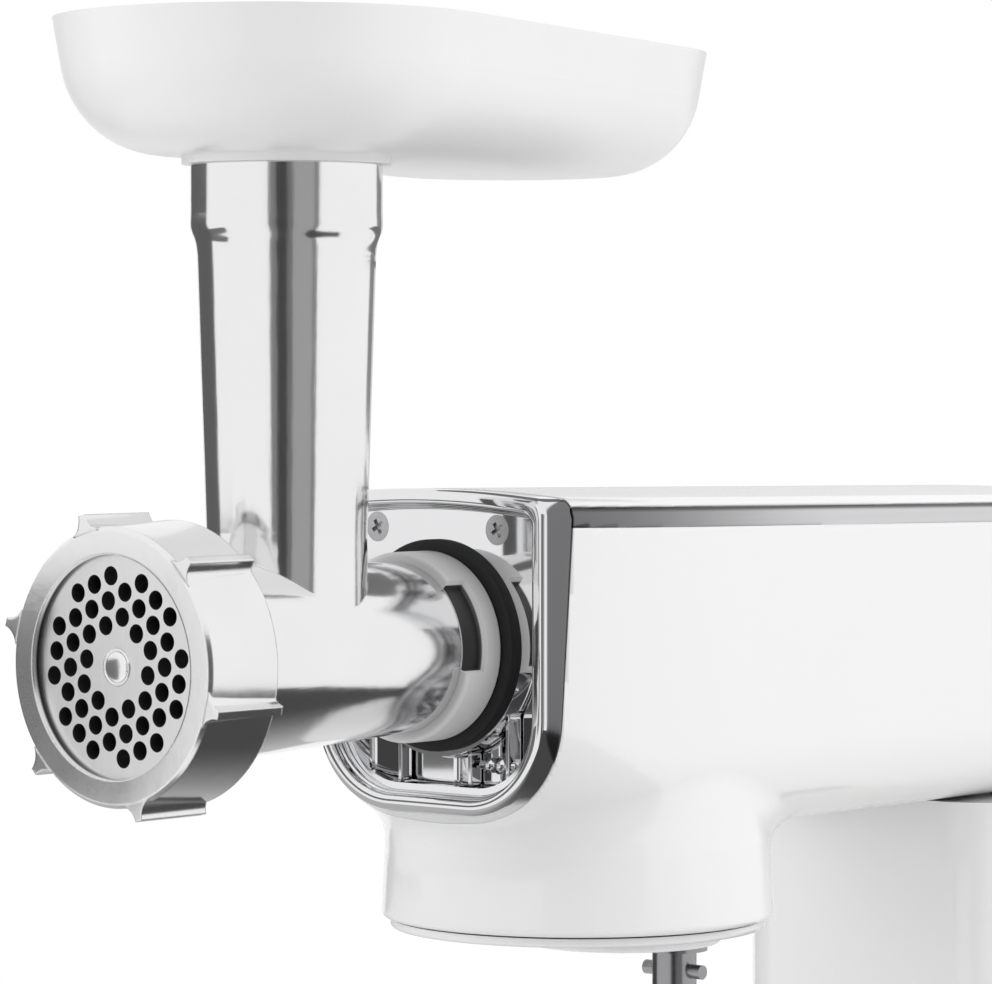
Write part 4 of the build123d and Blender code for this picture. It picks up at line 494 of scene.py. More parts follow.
class GRINDER_OT_stage(bpy.types.Operator):
    """Camera, white surroundings, softboxes, screens, cards and the floor"""

    bl_idname = "grinder.stage"
    bl_label = "Studio"

    def execute(self, context):
        studio = settings()[2]
        scene = context.scene
        scene.view_settings.view_transform = "Standard"
        lens = bpy.data.cameras.new("camera")
        lens.sensor_fit = "HORIZONTAL"
        lens.sensor_width = SENSOR_WIDTH
        lens.lens = studio.focal_pixels * SENSOR_WIDTH / IMAGE_WIDTH
        lens.clip_start, lens.clip_end = 0.05, 50.0
        camera = bpy.data.objects.new("camera", lens)
        camera.location = studio.camera_place
        camera.rotation_euler = (math.radians(90.0) - studio.pitch, 0.0, studio.azimuth)
        scene.collection.objects.link(camera)
        scene.camera = camera
        self.surroundings(scene, studio.ambient)
        self.floor()
        for name, place, target, size, share in LAMPS:
            self.lamp(scene, name, place, target, size, share * studio.key_power)
        for number, (start, end, low, high, level) in enumerate(SCREENS):
            self.screen("screen_%d" % number, start, end, low, high, level)
        self.table_card()
        self.upper_card()
        self.rim_card()
        return {"FINISHED"}

    def surroundings(self, scene, ambient):
        """White world: full white to camera, mirror and glass rays, softer on matt surfaces."""
        world = bpy.data.worlds.new("white_room")
        world.use_nodes = True
        tree = world.node_tree
        back = tree.nodes["Background"]
        path = tree.nodes.new("ShaderNodeLightPath")
        seen = path.outputs["Is Camera Ray"]
        for output in ("Is Glossy Ray", "Is Transmission Ray"):
            most = tree.nodes.new("ShaderNodeMath")
            most.operation = "MAXIMUM"
            tree.links.new(seen, most.inputs[0])
            tree.links.new(path.outputs[output], most.inputs[1])
            seen = most.outputs[0]
        spread = tree.nodes.new("ShaderNodeMapRange")
        spread.inputs["To Min"].default_value = ambient
        spread.inputs["To Max"].default_value = 1.0
        tree.links.new(seen, spread.inputs["Value"])
        tree.links.new(spread.outputs[0], back.inputs["Strength"])
        back.inputs["Color"].default_value = grey(1.0)
        scene.world = world

    def floor(self):
        """Wide pale floor under the feet: paper near the machine, plain white to the camera further out."""
        side = np.linspace(-FLOOR_REACH, FLOOR_REACH, 25)
        points = points_at(side[:, None], side[None, :], FLOOR_Z)
        finish = Finish("floor_paper")
        x, y, _, point = finish.place()
        fibre = finish.noise(point, scale=14.0, detail=4.0)
        finish.set(Base_Color=finish.blend(*map(grey, PAPER_GREYS), fibre), Roughness=0.8)
        far = (x * x + y * y).root().rise(*PAPER_FADE)
        seen = finish.node("ShaderNodeLightPath", {}, {}, "Is Camera Ray")
        paper = Value(finish, finish.surface.outputs[0])
        white = finish.node("ShaderNodeEmission", {}, {"Color": grey(1.0), "Strength": 1.0})
        mix = finish.node("ShaderNodeMixShader", {}, {0: far * seen, 1: paper, 2: white})
        finish.fill(finish.tree.nodes["Material Output"].inputs["Surface"], mix)
        floor = surface("floor", points, finish)
        floor.visible_glossy = False

    def lamp(self, scene, name, place, target, size, power):
        """Square area light aimed at a point, left out of reflections."""
        light = bpy.data.lights.new(name, "AREA")
        light.size = size
        light.energy = power
        lamp = bpy.data.objects.new(name, light)
        lamp.location = place
        lamp.rotation_euler = aim(place, target)
        lamp.visible_glossy = False
        scene.collection.objects.link(lamp)

    def screen(self, name, start, end, low, high, level):
        """Upright screen: an arc round the grinder between two bearings, at one reach."""
        bearing = SIGHT + np.radians(np.linspace(start, end, 15))[:, None]
        x, y = SCREEN_REACH * np.sin(bearing), THROAT_Y - SCREEN_REACH * np.cos(bearing)
        points = points_at(x, y, np.linspace(low, high, 5)[None, :])
        self.mirror_only(surface(name, points, self.glow(name, level)))

    def table_card(self):
        """Level card under the barrel, for the dark lower bands of its metal: a strip between a straight front edge
        and a back edge that steps back on the left, paler on the left."""
        x = np.linspace(*TABLE_CARD_ENDS, 37)[:, None]
        share = np.linspace(0.0, 1.0, 7)[None, :]
        back = np.interp(x, TABLE_CARD_STEP, TABLE_CARD_BACKS)
        y = TABLE_CARD_FRONT + share * (back - TABLE_CARD_FRONT)
        points = points_at(x, y, TABLE_CARD_Z)
        dark, pale = TABLE_CARD_GREYS
        finish = self.glow("table_card", dark)
        right = finish.place()[0].rise(*TABLE_CARD_FADE)
        finish.set(Emission_Color=finish.blend(grey(pale), grey(dark), right))
        self.mirror_only(surface("table_card", points, finish))

    def upper_card(self):
        """Level oblong card under the tray, for the dark upper band of the barrel."""
        x, y = np.linspace(*UPPER_CARD_X, 7)[None, :], np.linspace(*UPPER_CARD_Y, 15)[:, None]
        points = points_at(x, y, UPPER_CARD_Z)
        self.mirror_only(surface("upper_card", points, self.glow("upper_card", UPPER_CARD_GREY)))

    def rim_card(self):
        """Upright card to the left in front of the nut, for the dark left side of its rim: it stands square to the
        camera's sight mirrored in the nut's face, and its edge falls on the middle of the face."""
        ahead = np.array([-math.sin(SIGHT), -math.cos(SIGHT), 0.0])
        right = np.array([math.cos(SIGHT), -math.sin(SIGHT), 0.0])
        middle = np.array([0.0, NUT_FRONT, AXIS_Z - RIM_CARD_DROP]) + RIM_CARD_REACH * ahead
        across = np.linspace(*RIM_CARD_ACROSS, 9)[:, None, None] * right
        up = np.linspace(*RIM_CARD_UP, 5)[None, :, None] * np.array([0.0, 0.0, 1.0])
        self.mirror_only(surface("rim_card", middle + across + up, self.glow("rim_card", RIM_CARD_GREY)))

    def glow(self, name, level):
        """Even grey glow."""
        finish = Finish(name)
        finish.set(
            Base_Color=grey(0.0), Roughness=1.0, Specular_IOR_Level=0.0,
            Emission_Color=grey(level), Emission_Strength=1.0,
        )
        return finish

    def mirror_only(self, made):
        """Leaves a screen or card to mirror rays alone."""
        made.visible_camera = False
        made.visible_diffuse = False
        made.visible_shadow = False
        made.visible_transmission = False


def along(y, column):
    """Smooth curve through one column of the head's stations: cubic pieces with limited slopes."""
    ys, vs = HEAD_STATIONS[:, 0], HEAD_STATIONS[:, column]
    step = np.diff(ys)
    slope = np.diff(vs) / step
    inner = slope[:-1] * slope[1:]
    mean = np.where(inner > 0, 2.0 * inner / np.where(inner > 0, slope[:-1] + slope[1:], 1.0), 0.0)
    tangent = np.concatenate([slope[:1], mean, slope[-1:]])
    cell = np.clip(np.searchsorted(ys, y) - 1, 0, len(ys) - 2)
    h = step[cell]
    t = np.clip((y - ys[cell]) / h, 0.0, 1.0)
    return (
        vs[cell] * (1 + 2 * t) * (1 - t) ** 2 + tangent[cell] * h * t * (1 - t) ** 2
        + vs[cell + 1] * t * t * (3 - 2 * t) + tangent[cell + 1] * h * t * t * (t - 1)
    )


def rounded_most(first, second, soft):
    """The larger of two distances, rounded up by a parabola where they differ by less than a soft range."""
    overlap = np.maximum(soft - np.abs(first - second), 0.0) / soft
    return np.maximum(first, second) + overlap ** 2 * soft / 4


def head_field(x, y, z):
    """Signed distance to the head: a rounded section that changes along Y, rounded at the hinge end,
    joined to the skirt's upright cone by a fillet that fades where the two walls run alongside."""
    width, under, corner = along(y, 1), along(y, 2), along(y, 3)
    rise = z - AXIS_Z
    crown = HUB_TOP - SEAM_FALL * (y - BEZEL_Y) - HUB_ARCH * (x / width) ** 2
    radius = np.where(rise < 0, corner, HEAD_TOP_ROUND)
    qx = np.abs(x) - (width - radius)
    qz = np.where(rise < 0, -rise - (under - radius), rise - (crown - radius))
    px, pz = np.maximum(qx, 0.0), np.maximum(qz, 0.0)
    reach = np.hypot(px, pz)
    body = reach + np.minimum(np.maximum(qx, qz), 0.0) - radius
    sideways = np.where(reach > 1e-9, px / np.maximum(reach, 1e-9), np.where(qx > qz, 1.0, 0.0))
    tail = np.hypot(y - HINGE_Y, z - HINGE_Z) - TAIL_ROUND
    soft = TAIL_SOFT * np.clip((y - HINGE_Y) / TAIL_SOFT_RUN, 0.0, 1.0) + TINY
    body = np.where(y > HINGE_Y, rounded_most(body, tail, soft), body)
    ring = np.hypot(x, y - PLANET_Y)
    lean = sum(np.clip((z - start) / run, 0.0, most) * pull for start, run, most, pull in SKIRT_SLOPES)
    skirt = np.maximum(ring - (SKIRT_RADIUS - lean), z - SKIRT_TOP)
    facing = np.abs(sideways * x / np.maximum(ring, TINY))
    fillet = SKIRT_FILLET * (1.0 - facing) + TINY
    return -rounded_most(-body, -skirt, fillet)


def cast_out(origin, direction):
    """Where rays from inside leave the head: bisection on the distance field, all rays at once."""
    low = np.zeros(direction.shape[:-1])
    high = np.full(direction.shape[:-1], SPINE_REACH)
    for _ in range(HALVINGS):
        middle = 0.5 * (low + high)
        point = origin + middle[..., None] * direction
        within = head_field(point[..., 0], point[..., 1], point[..., 2]) < 0
        low = np.where(within, middle, low)
        high = np.where(within, high, middle)
    return origin + (0.5 * (low + high))[..., None] * direction


def head_skin_points():
    """Grid on the head: rays square to a straight spine along it, then fanned about its rear end to a pole."""
    turn = full_turn(HEAD_COLUMNS) - math.pi
    spine = np.concatenate([np.linspace(*run)[:-1] for run in SPINE_RUNS])
    opening, closing = (np.linspace(*run) for run in FAN_RUNS)
    fan = np.radians(np.concatenate([opening, closing[1:]]))
    y = np.concatenate([spine, np.full(len(fan), SPINE_RUNS[-1][1])])[:, None]
    tilt = np.concatenate([np.zeros(len(spine)), fan])[:, None]
    direction = points_at(np.sin(turn) * np.cos(tilt), np.sin(tilt), -np.cos(turn) * np.cos(tilt))
    return cast_out(points_at(0.0, y, SPINE_Z), direction)


def skirt_patch(edge):
    """Skirt from its rim up to a closed edge on the head: in the upright plane of each edge point, rays fan
    from outside, level at the rim to the edge point, and step along the distance field to the surface."""
    out = edge[:, :2] - np.array([0.0, PLANET_Y])
    reach = np.hypot(out[:, 0], out[:, 1])
    away = out / reach[:, None]
    start_r = np.maximum(reach, SKIRT_RADIUS) + RAY_STANDOFF
    start_z = SKIRT_Z + SKIRT_ROUND
    last = np.arctan2(edge[:, 2] - start_z, start_r - reach)
    tilt = np.linspace(0.0, 1.0, SKIRT_RAYS)[:, None] * last[None, :]
    radius, height = start_r + 0.0 * tilt, start_z + 0.0 * tilt
    step = np.zeros_like(tilt)
    for _ in range(RAY_STEPS):
        gap = head_field(radius * away[:, 0], PLANET_Y + radius * away[:, 1], height)
        step = step + RAY_STRIDE * gap
        radius = start_r - step * np.cos(tilt)
        height = start_z + step * np.sin(tilt)
    bend = np.linspace(0.0, math.pi / 2, 7)[:-1, None]
    radius = np.concatenate([radius[:1] - SKIRT_ROUND * (1.0 - np.sin(bend)), radius])
    height = np.concatenate([SKIRT_Z + SKIRT_ROUND * (1.0 - np.cos(bend)) + 0.0 * radius[:1], height])
    patch = points_at(radius * away[:, 0], PLANET_Y + radius * away[:, 1], height)
    patch[-1] = edge
    return patch


def head_with_skirt(skin, finish):
    """Head grid with a rectangle of cells left out round the skirt, filled by the skirt's patch."""
    rows, columns = skin.shape[:2]
    left, right = SKIRT_COLUMNS
    back = SKIRT_ROWS
    faces = grid_faces(rows, columns, close_v=True)
    keep = np.ones(faces.shape[:2], dtype=bool)
    keep[:back, left:right] = False
    edge = np.concatenate([
        skin[0, left:right], skin[:back, right], skin[back, left + 1:right + 1][::-1], skin[1:back + 1, left][::-1],
    ])
    patch = skirt_patch(edge)
    filled = grid_faces(*patch.shape[:2], close_v=True).reshape(-1, 4) + rows * columns
    points = np.concatenate([skin.reshape(-1, 3), patch.reshape(-1, 3)])
    return sheet("head_skin", points, np.concatenate([faces[keep], filled]), finish)


class GRINDER_OT_head(bpy.types.Operator):
    """Paint and trim of the head and stand"""

    bl_idname = "grinder.head"
    bl_label = "Head and stand paint"

    def execute(self, context):
        paint, metal, _ = settings()
        enamel = gloss_paint("body_enamel", paint.body_white)
        enamel.coat("base_shell", "column_shell", "planet_carrier")
        skin = head_skin_points()
        up = np.array([0.0, SEAM_FALL, 1.0])
        cover_edge = np.array([0.0, BEZEL_Y, AXIS_Z + COVER_SEAM])
        trim_edge = cover_edge - np.array([0.0, 0.0, TRIM_HEIGHT])
        shell = head_with_skirt(skin, enamel)
        trimmed(shell, [NOSE_CUT, (trim_edge, -up)], HINGE_SLOT)
        cover = surface("cover_skin", skin, enamel, close_v=True)
        trimmed(cover, [NOSE_CUT, (cover_edge + SEAM_GAP * up, up)])
        strip = surface("strip_skin", skin, self.strip_finish(metal), close_v=True)
        trimmed(strip, [NOSE_CUT, (cover_edge, -up), (trim_edge, up)])
        for made, node, slot in (
            (shell, "head_shell", "white_paint"),
            (cover, "head_top_cover", "white_paint"),
            (strip, "trim_strip", "satin_aluminium"),
        ):
            thicken(made, HEAD_WALL)
            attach(made, "head")
            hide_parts(node)
        return {"FINISHED"}

    def strip_finish(self, metal):
        """Satin strip: drawn along the head, with painted shade that darkens it towards the front and a dark line of
        painted shade along the cover's seam.
        """
        finish, grain = satin_metal(
            "trim_satin", metal.strip_colour, roughness=0.37, scale=90.0, stretch=(1.0, 0.03, 6.0))
        _, y, z, _ = finish.place()
        below_seam = z + SEAM_FALL * (y - BEZEL_Y) - (AXIS_Z + COVER_SEAM)
        # Painted shade: a dark line along the top of the strip, under the cover's seam
        seam_shade = below_seam.rise(-0.0015, -0.0004)
        drawn = finish.vary(metal.strip_colour, 0.88, grain)
        # Painted shade: the strip's colour darkens towards its front end
        shaded = finish.blend((0.13, 0.13, 0.135, 1.0), drawn, 0.10 + 0.90 * y.rise(-0.088, 0.030))
        finish.set(Base_Color=finish.blend(shaded, (0.05, 0.05, 0.052, 1.0), 0.85 * seam_shade))
        return finish


class GRINDER_OT_tray(bpy.types.Operator):
    """Moulded loading tray"""

    bl_idname = "grinder.tray"
    bl_label = "Loading tray"

    def execute(self, context):
        paint = settings()[0]
        moulded_plastic("tray_moulding", paint.tray_white, 0.34).coat("hopper_tray")
        return {"FINISHED"}


class GRINDER_OT_casting(bpy.types.Operator):
    """Polished casting, ring nut, hole plate and collar"""

    bl_idname = "grinder.casting"
    bl_label = "Grinder metal"

    def execute(self, context):
        paint, metal, _ = settings()
        cast = self.casting("polished_casting", metal, edge=0.0006)
        cast.coat("grinder_body", "auger")
        self.nut(metal)
        throat = surface(
            "throat_ring", self.throat_points(), self.casting("throat_casting", metal, edge=0.0),
            close_u=True, close_v=True,
        )
        pin = surface("pin_cap", lathe(PIN_PROFILE, columns=96), cast, close_v=True)
        for made, sharp, body in ((throat, 50.0, "grinder"), (pin, 60.0, "drive")):
            trimmed(made)
            made.data.set_sharp_from_angle(angle=math.radians(sharp))
            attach(made, body)
        self.plate(metal)
        collar = surface(
            "collar_ring", self.collar_points(), self.collar_finish(paint), close_u=True, close_v=True)
        trimmed(collar)
        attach(collar, "grinder")
        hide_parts("rear_collar")
        moulded_plastic("seal_rubber", paint.rubber_black, 0.75).coat("hub_seal", "base_feet", "cord_gland")
        return {"FINISHED"}

    def casting(self, name, metal, edge):
        """Polished casting with a drawn grain, upright on the throat and level on the barrel."""
        finish = Finish(name)
        _, _, z, point = finish.place()
        drift = finish.noise(point, scale=38.0)
        fine = finish.noise(point, scale=900.0, detail=2.0)
        upright = z.rise(AXIS_Z + 0.020, AXIS_Z + 0.032)
        drawn_up = finish.noise(point, scale=1300.0, detail=2.0, stretch=(1.0, 1.0, 0.06))
        drawn_level = finish.noise(point, scale=1300.0, detail=2.0, stretch=(1.0, 0.06, 1.0))
        grain = drawn_level + upright * (drawn_up - drawn_level)
        finish.set(
            Base_Color=finish.vary(metal.cast_colour, 0.93, drift),
            Metallic=1.0,
            Roughness=metal.cast_gloss - 0.04 + 0.04 * drift + 0.03 * fine,
            Normal=finish.bump(drift + 0.05 * grain, strength=0.10, distance=0.0016, edge=edge),
        )
        return finish

    def nut(self, metal):
        """Nut: the casting's colour with a finer grain, and painted shade inside its mouth beside the plate."""
        finish = Finish("nut_casting")
        x, y, z, point = finish.place()
        z = z - AXIS_Z
        drift = finish.noise(point, scale=60.0)
        fine = finish.noise(point, scale=1500.0, detail=2.0, stretch=(1.0, 0.08, 1.0))
        past_mouth = (x * x + z * z).root().rise(NUT_MOUTH + 0.0001, NUT_MOUTH + 0.0003)
        # Painted shade: the mouth's wall turns nearly black from a little behind the front face, beside the plate
        mouth_shade = (1.0 - past_mouth) * y.rise(NUT_FRONT + 0.0009, NUT_FRONT + 0.0018)
        bright = finish.vary(metal.cast_colour, 0.92, drift)
        finish.set(
            Base_Color=finish.blend(bright, (0.03, 0.03, 0.031, 1.0), mouth_shade),
            Metallic=1.0,
            Roughness=0.12 + 0.05 * drift + 0.05 * fine,
            Normal=finish.bump(drift + 0.06 * fine, strength=0.06, distance=0.0012, edge=0.0007),
        )
        finish.coat("ring_nut")

    def throat_points(self):
        """Rolled edge: a closed profile of (radius, rise) pairs turned about the throat's upright axis."""
        turn = full_turn(columns=240)
        radius, rise = THROAT_RING[:, :1], THROAT_RING[:, 1:]
        return points_at(radius * np.cos(turn), THROAT_Y + radius * np.sin(turn), AXIS_Z + rise)

    def plate(self, metal):
        """Brushed knife and hole plate; the walls of the plate's holes, and its other faces not square to its axis,
        have painted shade and are dull.
        """
        brushed = {"roughness": 0.30, "scale": 160.0, "stretch": (12.0, 12.0, 0.6)}
        satin_metal("plate_brushed", metal.plate_colour, **brushed)[0].coat("cutter_knife")
        finish, grain = satin_metal("plate_drilled", metal.plate_colour, **brushed)
        normal = finish.node("ShaderNodeNewGeometry", {}, {}, "Normal")
        # Painted shade: faces not square to the plate's axis, the holes' walls among them, take a dark base colour;
        # they are also rougher
        face = finish.node("ShaderNodeSeparateXYZ", {}, {0: normal}, "Y").absolute().rise(0.35, 0.75)
        finish.set(
            Base_Color=finish.blend((0.10, 0.10, 0.102, 1.0), finish.vary(metal.plate_colour, 0.9, grain), face),
            Roughness=0.62 - 0.30 * face + 0.06 * grain,
        )
        finish.coat("cutter_plate")

    def collar_points(self):
        """Collar behind the barrel: a profile with rounded edges turned about the axis, pressed in to a sunk flat
        between two angles on its right side, from the front to part of its length."""
        bend = np.radians(np.linspace(0.0, 90.0, 9))
        out, down = 1 - np.sin(bend), 1 - np.cos(bend)
        rear_y = SEAL_Y - COLLAR_GAP
        front = np.stack([COLLAR_Y + COLLAR_FRONT_ROUND * out, COLLAR_RADIUS - COLLAR_FRONT_ROUND * down], axis=-1)
        rear = np.stack([rear_y - COLLAR_REAR_ROUND * out, COLLAR_RADIUS - COLLAR_REAR_ROUND * down], axis=-1)
        length = np.concatenate([
            np.linspace(COLLAR_Y + COLLAR_FRONT_ROUND + 0.0002, FLAT_END, 24),
            np.linspace(FLAT_END + 0.00012, rear_y - COLLAR_REAR_ROUND - 0.0002, 12),
        ])
        side = np.stack([length, np.full_like(length, COLLAR_RADIUS)], axis=-1)
        first, last = np.array([[COLLAR_Y, COLLAR_BORE]]), np.array([[rear_y, COLLAR_BORE]])
        points = lathe(np.concatenate([first, front[::-1], side, rear, last]), columns=720)
        x, z = points[..., 0], points[..., 2] - AXIS_Z
        turn = np.degrees(np.arctan2(z, x))
        start, end = FLAT_TURN
        between = np.clip((turn - start) / FLAT_SOFT, 0.0, 1.0) * np.clip((end - turn) / FLAT_SOFT, 0.0, 1.0)
        sunk = between * (points[..., 1] <= FLAT_END + 1e-7) * FLAT_DEPTH
        radius = np.hypot(x, z)
        share = np.minimum(radius, COLLAR_RADIUS - sunk) / radius
        points[..., 0] = x * share
        points[..., 2] = AXIS_Z + z * share
        return points

    def collar_finish(self, paint):
        """Pale moulded plastic, with painted shade on the sunk flat."""
        finish = moulded_plastic("collar_nylon", paint.collar_grey, 0.42)
        x, y, z, point = finish.place()
        z = z - AXIS_Z
        raised = (x * x + z * z).root().rise(COLLAR_RADIUS - 0.0019, COLLAR_RADIUS - 0.0014)
        behind_front = y.rise(COLLAR_Y + 0.0001, COLLAR_Y + 0.0003)
        past_flat = y.rise(FLAT_END, FLAT_END + 0.0002)
        # Painted shade: the sunk flat is nearly black
        flat = (1.0 - raised) * behind_front * (1.0 - past_flat)
        pale = finish.vary(paint.collar_grey, 0.96, finish.noise(point, scale=25.0, detail=2.0))
        finish.set(Base_Color=finish.blend(pale, (0.02, 0.02, 0.021, 1.0), flat))
        return finish


def hub_outline(inset):
    """Closed front outline of the hub, moved in by an inset: straight sill, round lower corners, upright sides,
    small upper corners and a flat arch; points run from the middle of the sill up each side."""
    side, roof, sill = HUB_HALF_WIDTH - inset, HUB_TOP - inset, HUB_BOTTOM - inset
    low = HUB_CORNER - inset
    high = HUB_TOP_CORNER - 0.3 * inset
    bow = (side ** 2 + HUB_ARCH ** 2) / (2 * HUB_ARCH)
    centre = roof - bow + math.sqrt((bow - high) ** 2 - (side - high) ** 2)
    lean = math.atan2(side - high, centre - roof + bow)
    turn = np.linspace(-math.pi / 2, 0.0, CORNER_POINTS)
    fillet = np.linspace(0.0, math.pi / 2 - lean, FILLET_POINTS)
    arch = np.linspace(lean, 0.0, ARCH_POINTS)
    across = np.concatenate([
        np.linspace(0.0, side - low, SILL_POINTS + 1)[:-1], side - low + low * np.cos(turn),
        np.full(SIDE_POINTS, side), side - high + high * np.cos(fillet), (bow * np.sin(arch))[1:],
    ])
    up = np.concatenate([
        np.full(SILL_POINTS, -sill), low - sill + low * np.sin(turn),
        np.linspace(low - sill, centre, SIDE_POINTS + 2)[1:-1], centre + high * np.sin(fillet),
        (roof - bow + bow * np.cos(arch))[1:],
    ])
    left = slice(-2, 0, -1)
    return np.concatenate([across, -across[left]]), np.concatenate([up, up[left]])


def bezel_points():
    """Hub frame: a closed profile of (inset, depth) pairs carried round the hub's outline, whose outer side
    runs back from the front edge to meet the head's own outline at the sloping nose."""
    rows = []
    for inset, depth in BEZEL_PROFILE:
        across, up = hub_outline(inset)
        rows.append(points_at(across, BEZEL_Y + depth, AXIS_Z + up))
    front = rows[-1]
    nose = NOSE_DEPTH - (HUB_TOP - (front[:, 2] - AXIS_Z)) * NOSE_LEAN
    origin = points_at(0.0, BEZEL_Y + nose, SPINE_Z)
    aimed = front - origin
    aimed[:, 1] = 0.0
    aimed /= np.linalg.norm(aimed, axis=1)[:, None]
    flush = cast_out(origin, aimed) - BEZEL_SINK * aimed
    for share in np.linspace(0.0, 1.0, 8)[1:]:
        rows.append(front + share * (flush - front))
    rows.append(flush - BEZEL_LIP * aimed)
    return np.stack(rows)


def pocket_grids():
    """Webbed insert of the hub's lower pocket: a saw-tooth of ramps and ribs along X, each strip running from
    the seal's seat out to the pocket's rim."""
    x, y = np.linspace(POCKET_STEPS[:-1], POCKET_STEPS[1:], WEB_POINTS, axis=1).reshape(-1, 2).T
    near = np.where(np.abs(x) < SEAT_RING, -np.sqrt(np.maximum(SEAT_RING ** 2 - x ** 2, 0.0)), 0.0)
    near = np.minimum(near, POCKET_SHELF)
    past = np.maximum(np.abs(x) - (POCKET_HALF - POCKET_CORNER), 0.0)
    far = POCKET_CORNER - POCKET_BOTTOM - np.sqrt(np.maximum(POCKET_CORNER ** 2 - past ** 2, 0.0))
    share = np.linspace(1.0, 0.0, 9)[None, :]
    z = near[:, None] + share * (far - near)[:, None]
    points = points_at(x[:, None], POCKET_Y + y[:, None], AXIS_Z + z)
    return [points[start:start + WEB_POINTS] for start in range(0, len(x), WEB_POINTS)]


def catch_points():
    """Bayonet catch in the pocket: a stepped pin turned about a level axis."""
    turn = full_turn(columns=32)
    x, radius = CATCH_STEPS[:, :1], CATCH_STEPS[:, 1:]
    y = POCKET_Y + CATCH_DEPTH + radius * np.cos(turn)
    z = AXIS_Z - CATCH_DROP + radius * np.sin(turn)
    return points_at(x, y, z)


class GRINDER_OT_hub(bpy.types.Operator):
    """Chrome frame, dish, webs and catch of the hub"""

    bl_idname = "grinder.hub"
    bl_label = "Hub chrome"

    def execute(self, context):
        metal = settings()[1]
        chrome = Finish("hub_chrome")
        haze = chrome.noise(chrome.place()[3], scale=120.0)
        chrome.set(
            Base_Color=chrome.vary(metal.chrome_colour, 0.97, haze), Metallic=1.0, Roughness=0.035 + 0.02 * haze)
        chrome.coat("hub_dish")
        bezel = surface("bezel_frame", bezel_points(), self.bezel_finish(metal), close_u=True, close_v=True)
        trimmed(bezel)
        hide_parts("front_bezel")
        webs = joined("hub_webs", pocket_grids(), chrome)
        thicken(webs, WEB_WALL)
        catch = surface("hub_catch", catch_points(), chrome, close_v=True)
        trimmed(catch)
        for made in (bezel, webs, catch):
            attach(made, "head")
        return {"FINISHED"}

    def bezel_finish(self, metal):
        """Chrome frame with painted shade and more roughness on its outer flanks, and a duller, paler sill behind
        its front edge.
        """
        finish = Finish("bezel_chrome")
        x, y, z, point = finish.place()
        haze = finish.noise(point, scale=120.0)
        behind = y.rise(BEZEL_Y + 0.0014, BEZEL_Y + 0.0019)
        # Painted shade: the outer flanks behind the front edge take a dark base colour; they are also rougher
        flank_shade_and_dullness = x.absolute().rise(HUB_HALF_WIDTH - 0.0006, HUB_HALF_WIDTH) * behind
        sill = (1.0 - z.rise(AXIS_Z - 0.0415, AXIS_Z - 0.0385)) * behind
        bright = finish.vary(metal.chrome_colour, 0.97, haze)
        finish.set(
            Base_Color=finish.blend(bright, (0.17, 0.17, 0.175, 1.0), flank_shade_and_dullness),
            Metallic=1.0 - 0.75 * sill,
            Roughness=0.03 + 0.02 * haze + 0.12 * flank_shade_and_dullness + 0.3 * sill,
        )
        return finish


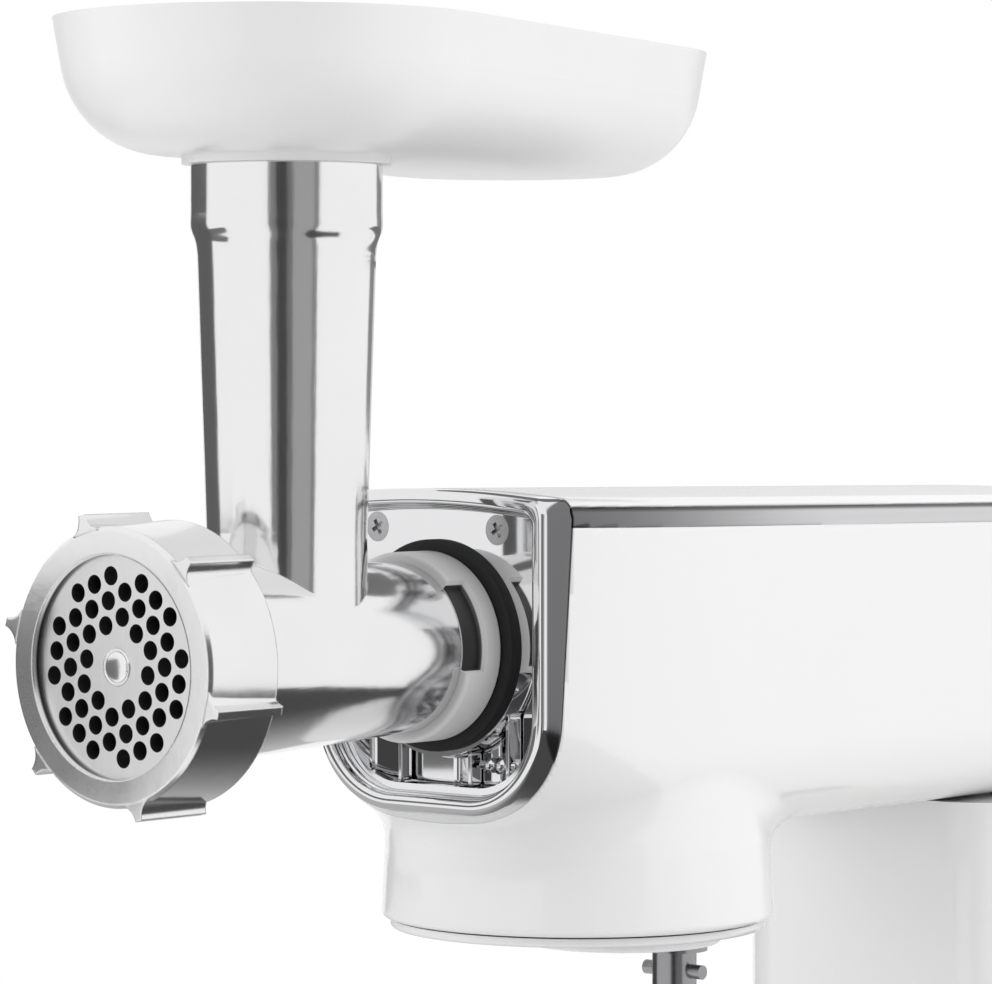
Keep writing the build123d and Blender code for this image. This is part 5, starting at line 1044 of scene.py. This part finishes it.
class GRINDER_OT_works(bpy.types.Operator):
    """Controls, hinge, tool shaft, screws, motor, gears and other inner pieces"""

    bl_idname = "grinder.works"
    bl_label = "Controls and works"

    # Name, colour, roughness, grain scale, grain stretch and nodes of each metal
    METALS = (
        ("bright_steel", (0.52, 0.52, 0.53), 0.38, 220.0, (1.0, 1.0, 5.0), (
            "bowl_seat", "hinge_bracket", "hinge_pin", "lock_bolt", "latch_guide", "base_screws",
            "motor_front_bracket", "motor_rear_bracket")),
        ("gear_steel", (0.40, 0.40, 0.41), 0.30, 260.0, (1.0, 6.0, 1.0), (
            "main_gear", "lay_pinion", "lay_gear", "motor_pinion", "lay_shaft", "drive_shaft", "drive_spigot",
            "crown_gear", "bevel_pinion", "ring_gear", "planet_pinion", "planet_shaft")),
        ("bearing_bronze", (0.62, 0.42, 0.20), 0.36, 240.0, (1.0, 4.0, 1.0), (
            "hub_bearing", "rear_bearing", "planet_bearing", "motor_brushes")),
        ("carrier_satin", (0.55, 0.55, 0.56), 0.35, 200.0, (1.0, 1.0, 8.0), ("gear_frame",)),
        # Painted dark reflection: the tool shaft and pin get a steel darker than the chrome they stand for
        ("tool_steel_painted_dark", (0.34, 0.34, 0.35), 0.22, 260.0, (1.0, 1.0, 6.0), ("tool_shaft", "tool_pin")),
        ("screw_steel", (0.56, 0.56, 0.57), 0.24, 300.0, (1.0, 1.0, 1.0), ("hub_screws",)),
    )
    # Name, colour, roughness and nodes of each moulded or pressed piece
    MOULDINGS = (
        ("control_plastic", (0.035, 0.035, 0.037), 0.45, (
            "speed_knob", "tilt_lever", "speed_switch", "motor_fan", "base_plate")),
        ("core_iron", (0.10, 0.095, 0.09), 0.55, ("motor_stator", "motor_rotor")),
        ("board_laminate", (0.03, 0.14, 0.06), 0.40, ("control_board",)),
    )

    def execute(self, context):
        for name, colour, roughness, scale, stretch, nodes in self.METALS:
            satin_metal(name, colour, roughness, scale, stretch)[0].coat(*nodes)
        for name, colour, roughness, nodes in self.MOULDINGS:
            moulded_plastic(name, colour, roughness).coat(*nodes)
        return {"FINISHED"}


class GRINDER_PT_pieces(bpy.types.Panel):
    """Lists the settings and the steps that dress the grinder"""

    bl_label = "Grinder"
    bl_idname = "GRINDER_PT_pieces"
    bl_space_type = "VIEW_3D"
    bl_region_type = "UI"
    bl_category = "Grinder"

    def draw(self, context):
        for group in settings():
            for key in group.bl_rna.properties.keys():
                if key not in {"rna_type", "name"}:
                    self.layout.prop(group, key)
        for step in STEPS:
            self.layout.operator(step.bl_idname)


STEPS = (
    GRINDER_OT_stage,
    GRINDER_OT_head,
    GRINDER_OT_tray,
    GRINDER_OT_casting,
    GRINDER_OT_hub,
    GRINDER_OT_works,
)
CLASSES = (PaintSettings, MetalSettings, StudioSettings) + STEPS + (GRINDER_PT_pieces,)


def register():
    for group in CLASSES:
        bpy.utils.register_class(group)
    bpy.types.Scene.grinder_paint = bpy.props.PointerProperty(type=PaintSettings)
    bpy.types.Scene.grinder_metal = bpy.props.PointerProperty(type=MetalSettings)
    bpy.types.Scene.grinder_studio = bpy.props.PointerProperty(type=StudioSettings)


def unregister():
    del bpy.types.Scene.grinder_studio
    del bpy.types.Scene.grinder_metal
    del bpy.types.Scene.grinder_paint
    for group in reversed(CLASSES):
        bpy.utils.unregister_class(group)


def main():
    register()
    bpy.ops.grinder.stage()
    bpy.ops.grinder.head()
    bpy.ops.grinder.tray()
    bpy.ops.grinder.casting()
    bpy.ops.grinder.hub()
    bpy.ops.grinder.works()


if __name__ == "__main__":
    main()
